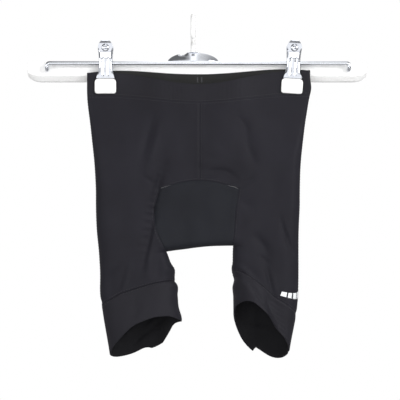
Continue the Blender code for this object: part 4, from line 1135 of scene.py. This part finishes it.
def elastane_knit(name, colour, light, rib, roughness, sheen):
    """Polyamide and elastane warp knit, dyed black: matt, with fine lengthwise ribs and a faint sheen at the
    edges. The real wales are about 0.45 mm apart, drawn here at the rib size so that they show up close. The
    tone drifts over some centimetres, as stretched and rested cloth does, and between one wale and the next."""
    made, tree, shader = new_material(
        name, Roughness=roughness, Sheen_Weight=sheen, Sheen_Roughness=0.45, Sheen_Tint=linear("b9b4c4"),
        Specular_IOR_Level=0.2,
    )
    flat = add_node(tree, "ShaderNodeUVMap", uv_map="cloth").outputs["UV"]
    place = add_node(tree, "ShaderNodeTexCoord").outputs["Object"]
    ribs = add_node(
        tree, "ShaderNodeTexWave", {"Vector": flat, "Scale": UV_UNIT / (rib * BANDS_PER_UNIT)},
        wave_type="BANDS", bands_direction="X",
    ).outputs["Fac"]
    courses = add_node(
        tree, "ShaderNodeTexWave", {"Vector": flat, "Scale": UV_UNIT / (rib * 0.8 * BANDS_PER_UNIT)},
        wave_type="BANDS", bands_direction="Y",
    ).outputs["Fac"]
    loops = add_node(tree, "ShaderNodeMath", {0: ribs, 1: courses}, operation="MULTIPLY").outputs[0]
    drift = add_node(tree, "ShaderNodeTexNoise", {"Vector": place, "Scale": 22.0, "Detail": 3.0}).outputs["Fac"]
    yarn = add_node(tree, "ShaderNodeTexNoise", {"Vector": place, "Scale": 900.0, "Detail": 2.0}).outputs["Fac"]
    tone = add_node(tree, "ShaderNodeMapRange", {"Value": drift, 1: 0.35, 2: 0.68, 3: 0.0, 4: 0.7}).outputs[0]
    speck = add_node(tree, "ShaderNodeMapRange", {"Value": yarn, 1: 0.3, 2: 0.7, 3: 0.0, 4: 0.35}).outputs[0]
    base = mixed(tree, tone, linear(colour), linear(light))
    base = mixed(tree, speck, base, linear(light))
    tree.links.new(base, shader.inputs["Base Color"])
    height = add_node(tree, "ShaderNodeMath", {0: loops, 1: yarn}, operation="ADD").outputs[0]
    bump = add_node(tree, "ShaderNodeBump", {"Height": height, "Strength": 0.35, "Distance": 0.00012})
    tree.links.new(bump.outputs[0], shader.inputs["Normal"])
    return made


def sewing_thread(name, colour):
    """Spun polyester sewing thread: matt, with a fine twist along it."""
    made, tree, shader = new_material(name, Roughness=0.7, Sheen_Weight=0.15, Base_Color=linear(colour))
    place = add_node(tree, "ShaderNodeTexCoord").outputs["Object"]
    twist = add_node(tree, "ShaderNodeTexNoise", {"Vector": place, "Scale": 2600.0, "Detail": 1.0}).outputs["Fac"]
    lighter = tuple(1.9 * value for value in linear(colour)[:3]) + (1.0,)
    tree.links.new(mixed(tree, twist, linear(colour), lighter), shader.inputs["Base Color"])
    bump = add_node(tree, "ShaderNodeBump", {"Height": twist, "Strength": 0.4, "Distance": 0.0001})
    tree.links.new(bump.outputs[0], shader.inputs["Normal"])
    return made


def reflective_film():
    """Heat-pressed glass-bead reflective film: near white and satin, with the grain of its beads."""
    made, tree, shader = new_material("glass_bead_reflective_film", Roughness=0.45, Metallic=0.1)
    place = add_node(tree, "ShaderNodeTexCoord").outputs["Object"]
    beads = add_node(tree, "ShaderNodeTexVoronoi", {"Vector": place, "Scale": 2500.0}).outputs["Distance"]
    tree.links.new(mixed(tree, beads, linear("f4f5f6"), linear("dfe2e6")), shader.inputs["Base Color"])
    bump = add_node(tree, "ShaderNodeBump", {"Height": beads, "Strength": 0.2, "Distance": 0.00005})
    tree.links.new(bump.outputs[0], shader.inputs["Normal"])
    return made


def moulded_polystyrene(name, colour, roughness, grain):
    """High-impact polystyrene from a polished mould: white and glossy, with slight flow waves and a fine grain
    of handling marks in the gloss."""
    made, tree, shader = new_material(name, IOR=1.59, Coat_Weight=0.15, Coat_Roughness=0.12)
    place = add_node(tree, "ShaderNodeTexCoord").outputs["Object"]
    flow = add_node(tree, "ShaderNodeTexNoise", {"Vector": place, "Scale": 18.0, "Detail": 2.0}).outputs["Fac"]
    rubbed = add_node(tree, "ShaderNodeTexNoise", {"Vector": place, "Scale": 420.0, "Detail": 4.0}).outputs["Fac"]
    tree.links.new(mixed(tree, flow, linear(colour), linear("f9f9f8")), shader.inputs["Base Color"])
    gloss = add_node(tree, "ShaderNodeMapRange", {"Value": rubbed, 1: 0.3, 2: 0.8, 3: roughness, 4: roughness + 0.14})
    tree.links.new(gloss.outputs[0], shader.inputs["Roughness"])
    bump = add_node(tree, "ShaderNodeBump", {"Height": rubbed, "Strength": grain, "Distance": 0.0001})
    tree.links.new(bump.outputs[0], shader.inputs["Normal"])
    return made


def chromed_steel(name, colour, roughness):
    """Bright chrome plate on cold-formed steel: a mirror with a slight grey cast, fine wiping marks in its
    gloss, and the faint waviness of the steel under it."""
    made, tree, shader = new_material(name, Metallic=1.0)
    place = add_node(tree, "ShaderNodeTexCoord").outputs["Object"]
    marks = add_node(tree, "ShaderNodeTexNoise", {"Vector": place, "Scale": 310.0, "Detail": 5.0}).outputs["Fac"]
    wavy = add_node(tree, "ShaderNodeTexNoise", {"Vector": place, "Scale": 60.0, "Detail": 1.0}).outputs["Fac"]
    tree.links.new(mixed(tree, marks, linear(colour), linear("dfe2e8")), shader.inputs["Base Color"])
    gloss = add_node(tree, "ShaderNodeMapRange", {"Value": marks, 1: 0.3, 2: 0.75, 3: roughness, 4: roughness + 0.08})
    tree.links.new(gloss.outputs[0], shader.inputs["Roughness"])
    bump = add_node(tree, "ShaderNodeBump", {"Height": wavy, "Strength": 0.12, "Distance": 0.0004})
    tree.links.new(bump.outputs[0], shader.inputs["Normal"])
    return made


FLOOR_Z, FLOOR_HALF = -0.95, 60.0
VIEW_WIDTH_AT_CLOTH, CAMERA_BEFORE_CLOTH, SENSOR = 0.468, 1.25, 36.0
CAMERA = (0.00824, -1.263, -0.2136)


def build_camera():
    """The camera, level and before the garment's middle height."""
    data = bpy.data.cameras.new("camera")
    data.sensor_width = SENSOR
    data.lens = SENSOR * CAMERA_BEFORE_CLOTH / VIEW_WIDTH_AT_CLOTH
    data.clip_end = 300.0
    camera = bpy.data.objects.new("camera", data)
    camera.location = CAMERA
    camera.rotation_euler = (math.pi / 2, 0, 0)
    bpy.context.scene.collection.objects.link(camera)
    bpy.context.scene.camera = camera


LIGHT_COLUMNS = ("name", "place", "wide", "tall", "watts")
# Softboxes, in metres: a key to the upper right of the picture, a fill to the left, and a long low one in front
LIGHTS = (
    ("key_softbox", (1.25, -1.3, 0.4), 0.8, 0.8, 19.5),
    ("fill_softbox", (-1.4, -1.3, 0.1), 0.9, 0.9, 7.0),
    ("low_softbox", (0.0, -1.6, -0.7), 1.4, 0.7, 6.5),
)
LIGHT_AIM = (0.0, 0.0, -0.2)


def build_softboxes():
    """The row of softboxes, all turned to the garment's middle. The camera doesn't see them."""
    for row in LIGHTS:
        light = dict(zip(LIGHT_COLUMNS, row))
        data = bpy.data.lights.new(light["name"], "AREA")
        data.shape = "RECTANGLE"
        data.size, data.size_y = light["wide"], light["tall"]
        data.energy = light["watts"]
        box = bpy.data.objects.new(light["name"], data)
        box.location = light["place"]
        way = Vector(LIGHT_AIM) - Vector(light["place"])
        box.rotation_euler = way.to_track_quat("-Z", "Y").to_euler()
        box.visible_camera = False
        bpy.context.scene.collection.objects.link(box)


SURROUND_STRENGTH = 1.6
# Stops of the surround's brightness by direction, from the far left (0) to the far right (1): overhead a bright
# strip over a dark ceiling, and round about a white room with a dark doorway to the right
OVERHEAD = ((0.0, 0.12), (0.4, 0.13), (0.455, 0.4), (0.48, 1.0), (0.525, 1.0), (0.56, 0.6), (0.75, 0.3), (1.0, 0.2))
ROUND_ABOUT = ((0.0, 0.55), (0.3, 0.75), (0.5, 0.85), (0.6, 0.75), (0.72, 0.5), (0.76, 0.1), (0.84, 0.1), (0.9, 0.4))
CEILING_STARTS, CEILING_FULL = 0.28, 0.5


def ramp_of(tree, share, stops):
    """A ramp of greys."""
    ramp = add_node(tree, "ShaderNodeValToRGB", {0: share})
    points = ramp.color_ramp.elements
    while len(points) < len(stops):
        points.new(0.5)
    for point, (position, value) in zip(points, stops):
        point.position = position
        point.color = (value, value, value, 1.0)
    return ramp.outputs[0]


def seen_white(tree, surface):
    """The surface's output, which the camera itself sees as plain white."""
    white = add_node(tree, "ShaderNodeBackground" if surface.node.type == "BACKGROUND" else "ShaderNodeEmission",
                     {"Color": (1, 1, 1, 1), "Strength": 1.0})
    path = add_node(tree, "ShaderNodeLightPath").outputs["Is Camera Ray"]
    return add_node(tree, "ShaderNodeMixShader", {0: path, 1: surface, 2: white.outputs[0]}).outputs[0]


def build_surround():
    """The white room round the garment, as its light falls on it and shows in the chrome."""
    world = bpy.data.worlds.new("white_studio")
    bpy.context.scene.world = world
    world.use_nodes = True
    tree = world.node_tree
    tree.nodes.clear()
    way = add_node(tree, "ShaderNodeTexCoord").outputs["Generated"]
    axes = add_node(tree, "ShaderNodeSeparateXYZ", {0: way})
    sideways = add_node(tree, "ShaderNodeMapRange", {"Value": axes.outputs[0], 1: -1.0, 2: 1.0}).outputs[0]
    upwards = add_node(
        tree, "ShaderNodeMapRange", {"Value": axes.outputs[2], 1: CEILING_STARTS, 2: CEILING_FULL}
    ).outputs[0]
    light = mixed(tree, upwards, ramp_of(tree, sideways, ROUND_ABOUT), ramp_of(tree, sideways, OVERHEAD))
    lit = add_node(tree, "ShaderNodeBackground", {"Color": light, "Strength": SURROUND_STRENGTH})
    add_node(tree, "ShaderNodeOutputWorld", {"Surface": seen_white(tree, lit.outputs[0])})


def build_floor():
    """A plain pale floor, far below the garment."""
    half = FLOOR_HALF
    mesh = bpy.data.meshes.new("floor")
    corners = [(-half, -half, FLOOR_Z), (half, -half, FLOOR_Z), (half, half, FLOOR_Z), (-half, half, FLOOR_Z)]
    mesh.from_pydata(corners, [], [(0, 1, 2, 3)])
    floor = bpy.data.objects.new("floor", mesh)
    paper, tree, shader = new_material("white_paper_floor", Base_Color=linear("bcbcbc"), Roughness=0.9)
    output = next(node for node in tree.nodes if node.type == "OUTPUT_MATERIAL")
    tree.links.new(seen_white(tree, shader.outputs[0]), output.inputs["Surface"])
    mesh.materials.append(paper)
    bpy.context.scene.collection.objects.link(floor)


def main():
    build_camera()
    build_surround()
    build_floor()
    build_softboxes()
    bpy.context.scene.view_settings.view_transform = "Standard"
    knit = elastane_knit("black_elastane_warp_knit", "17161d", "1d1c24", LEG_RIB, 0.66, 0.05)
    gusset_knit = elastane_knit("gusset_elastane_warp_knit", "16171d", "1c1e24", LEG_RIB, 0.7, 0.05)
    band_knit = elastane_knit("band_raschel_knit", "18171d", "1f1e25", BAND_RIB, 0.64, 0.05)
    inside = elastane_knit("inside_of_knit", "151517", "1c1c1e", LEG_RIB, 0.9, 0.03)
    # The casing's inside gets a lighter grey than the band knit: painted light, so that its inner face, which lies in
    # shade, shows about as bright as the outside
    band_inside_painted_light = elastane_knit("inside_of_band_painted_light", "242424", "2c2c2c", BAND_RIB, 0.85, 0.05)
    # The leg bands' inside gets a darker colour than the knit's own: painted shade for the shadowed inside of the leg
    # openings
    hem_inside_painted_shade = elastane_knit("inside_of_leg_band_painted_shade", "0f0f12", "161619", BAND_RIB, 0.9, 0.02)
    thread = sewing_thread("black_polyester_thread", "1b1a1d")
    tack_thread = sewing_thread("grey_polyester_thread", "38383b")
    plastic = moulded_polystyrene("white_moulded_polystyrene", "ffffff", 0.24, 0.05)
    pad_plastic = moulded_polystyrene("white_moulded_pad_plastic", "fbfbfa", 0.4, 0.12)
    chrome = chromed_steel("chromed_steel", "c6c9cf", 0.05)
    spring_chrome = chromed_steel("chromed_spring_steel", "c4c7cf", 0.07)

    panels = build_panels(knit, inside)
    gusset = build_gusset(gusset_knit, inside)
    waistband = build_waistband(band_knit, band_inside_painted_light)
    bands = build_hem_bands(band_knit, hem_inside_painted_shade)
    sewing = build_stitching(thread)
    tack = build_bar_tack(tack_thread)
    build_reflective_dashes(reflective_film())
    build_bar(plastic)
    build_rod(chrome)
    build_cap(chrome)
    build_hook(plastic)
    build_clips(spring_chrome, pad_plastic)


main()
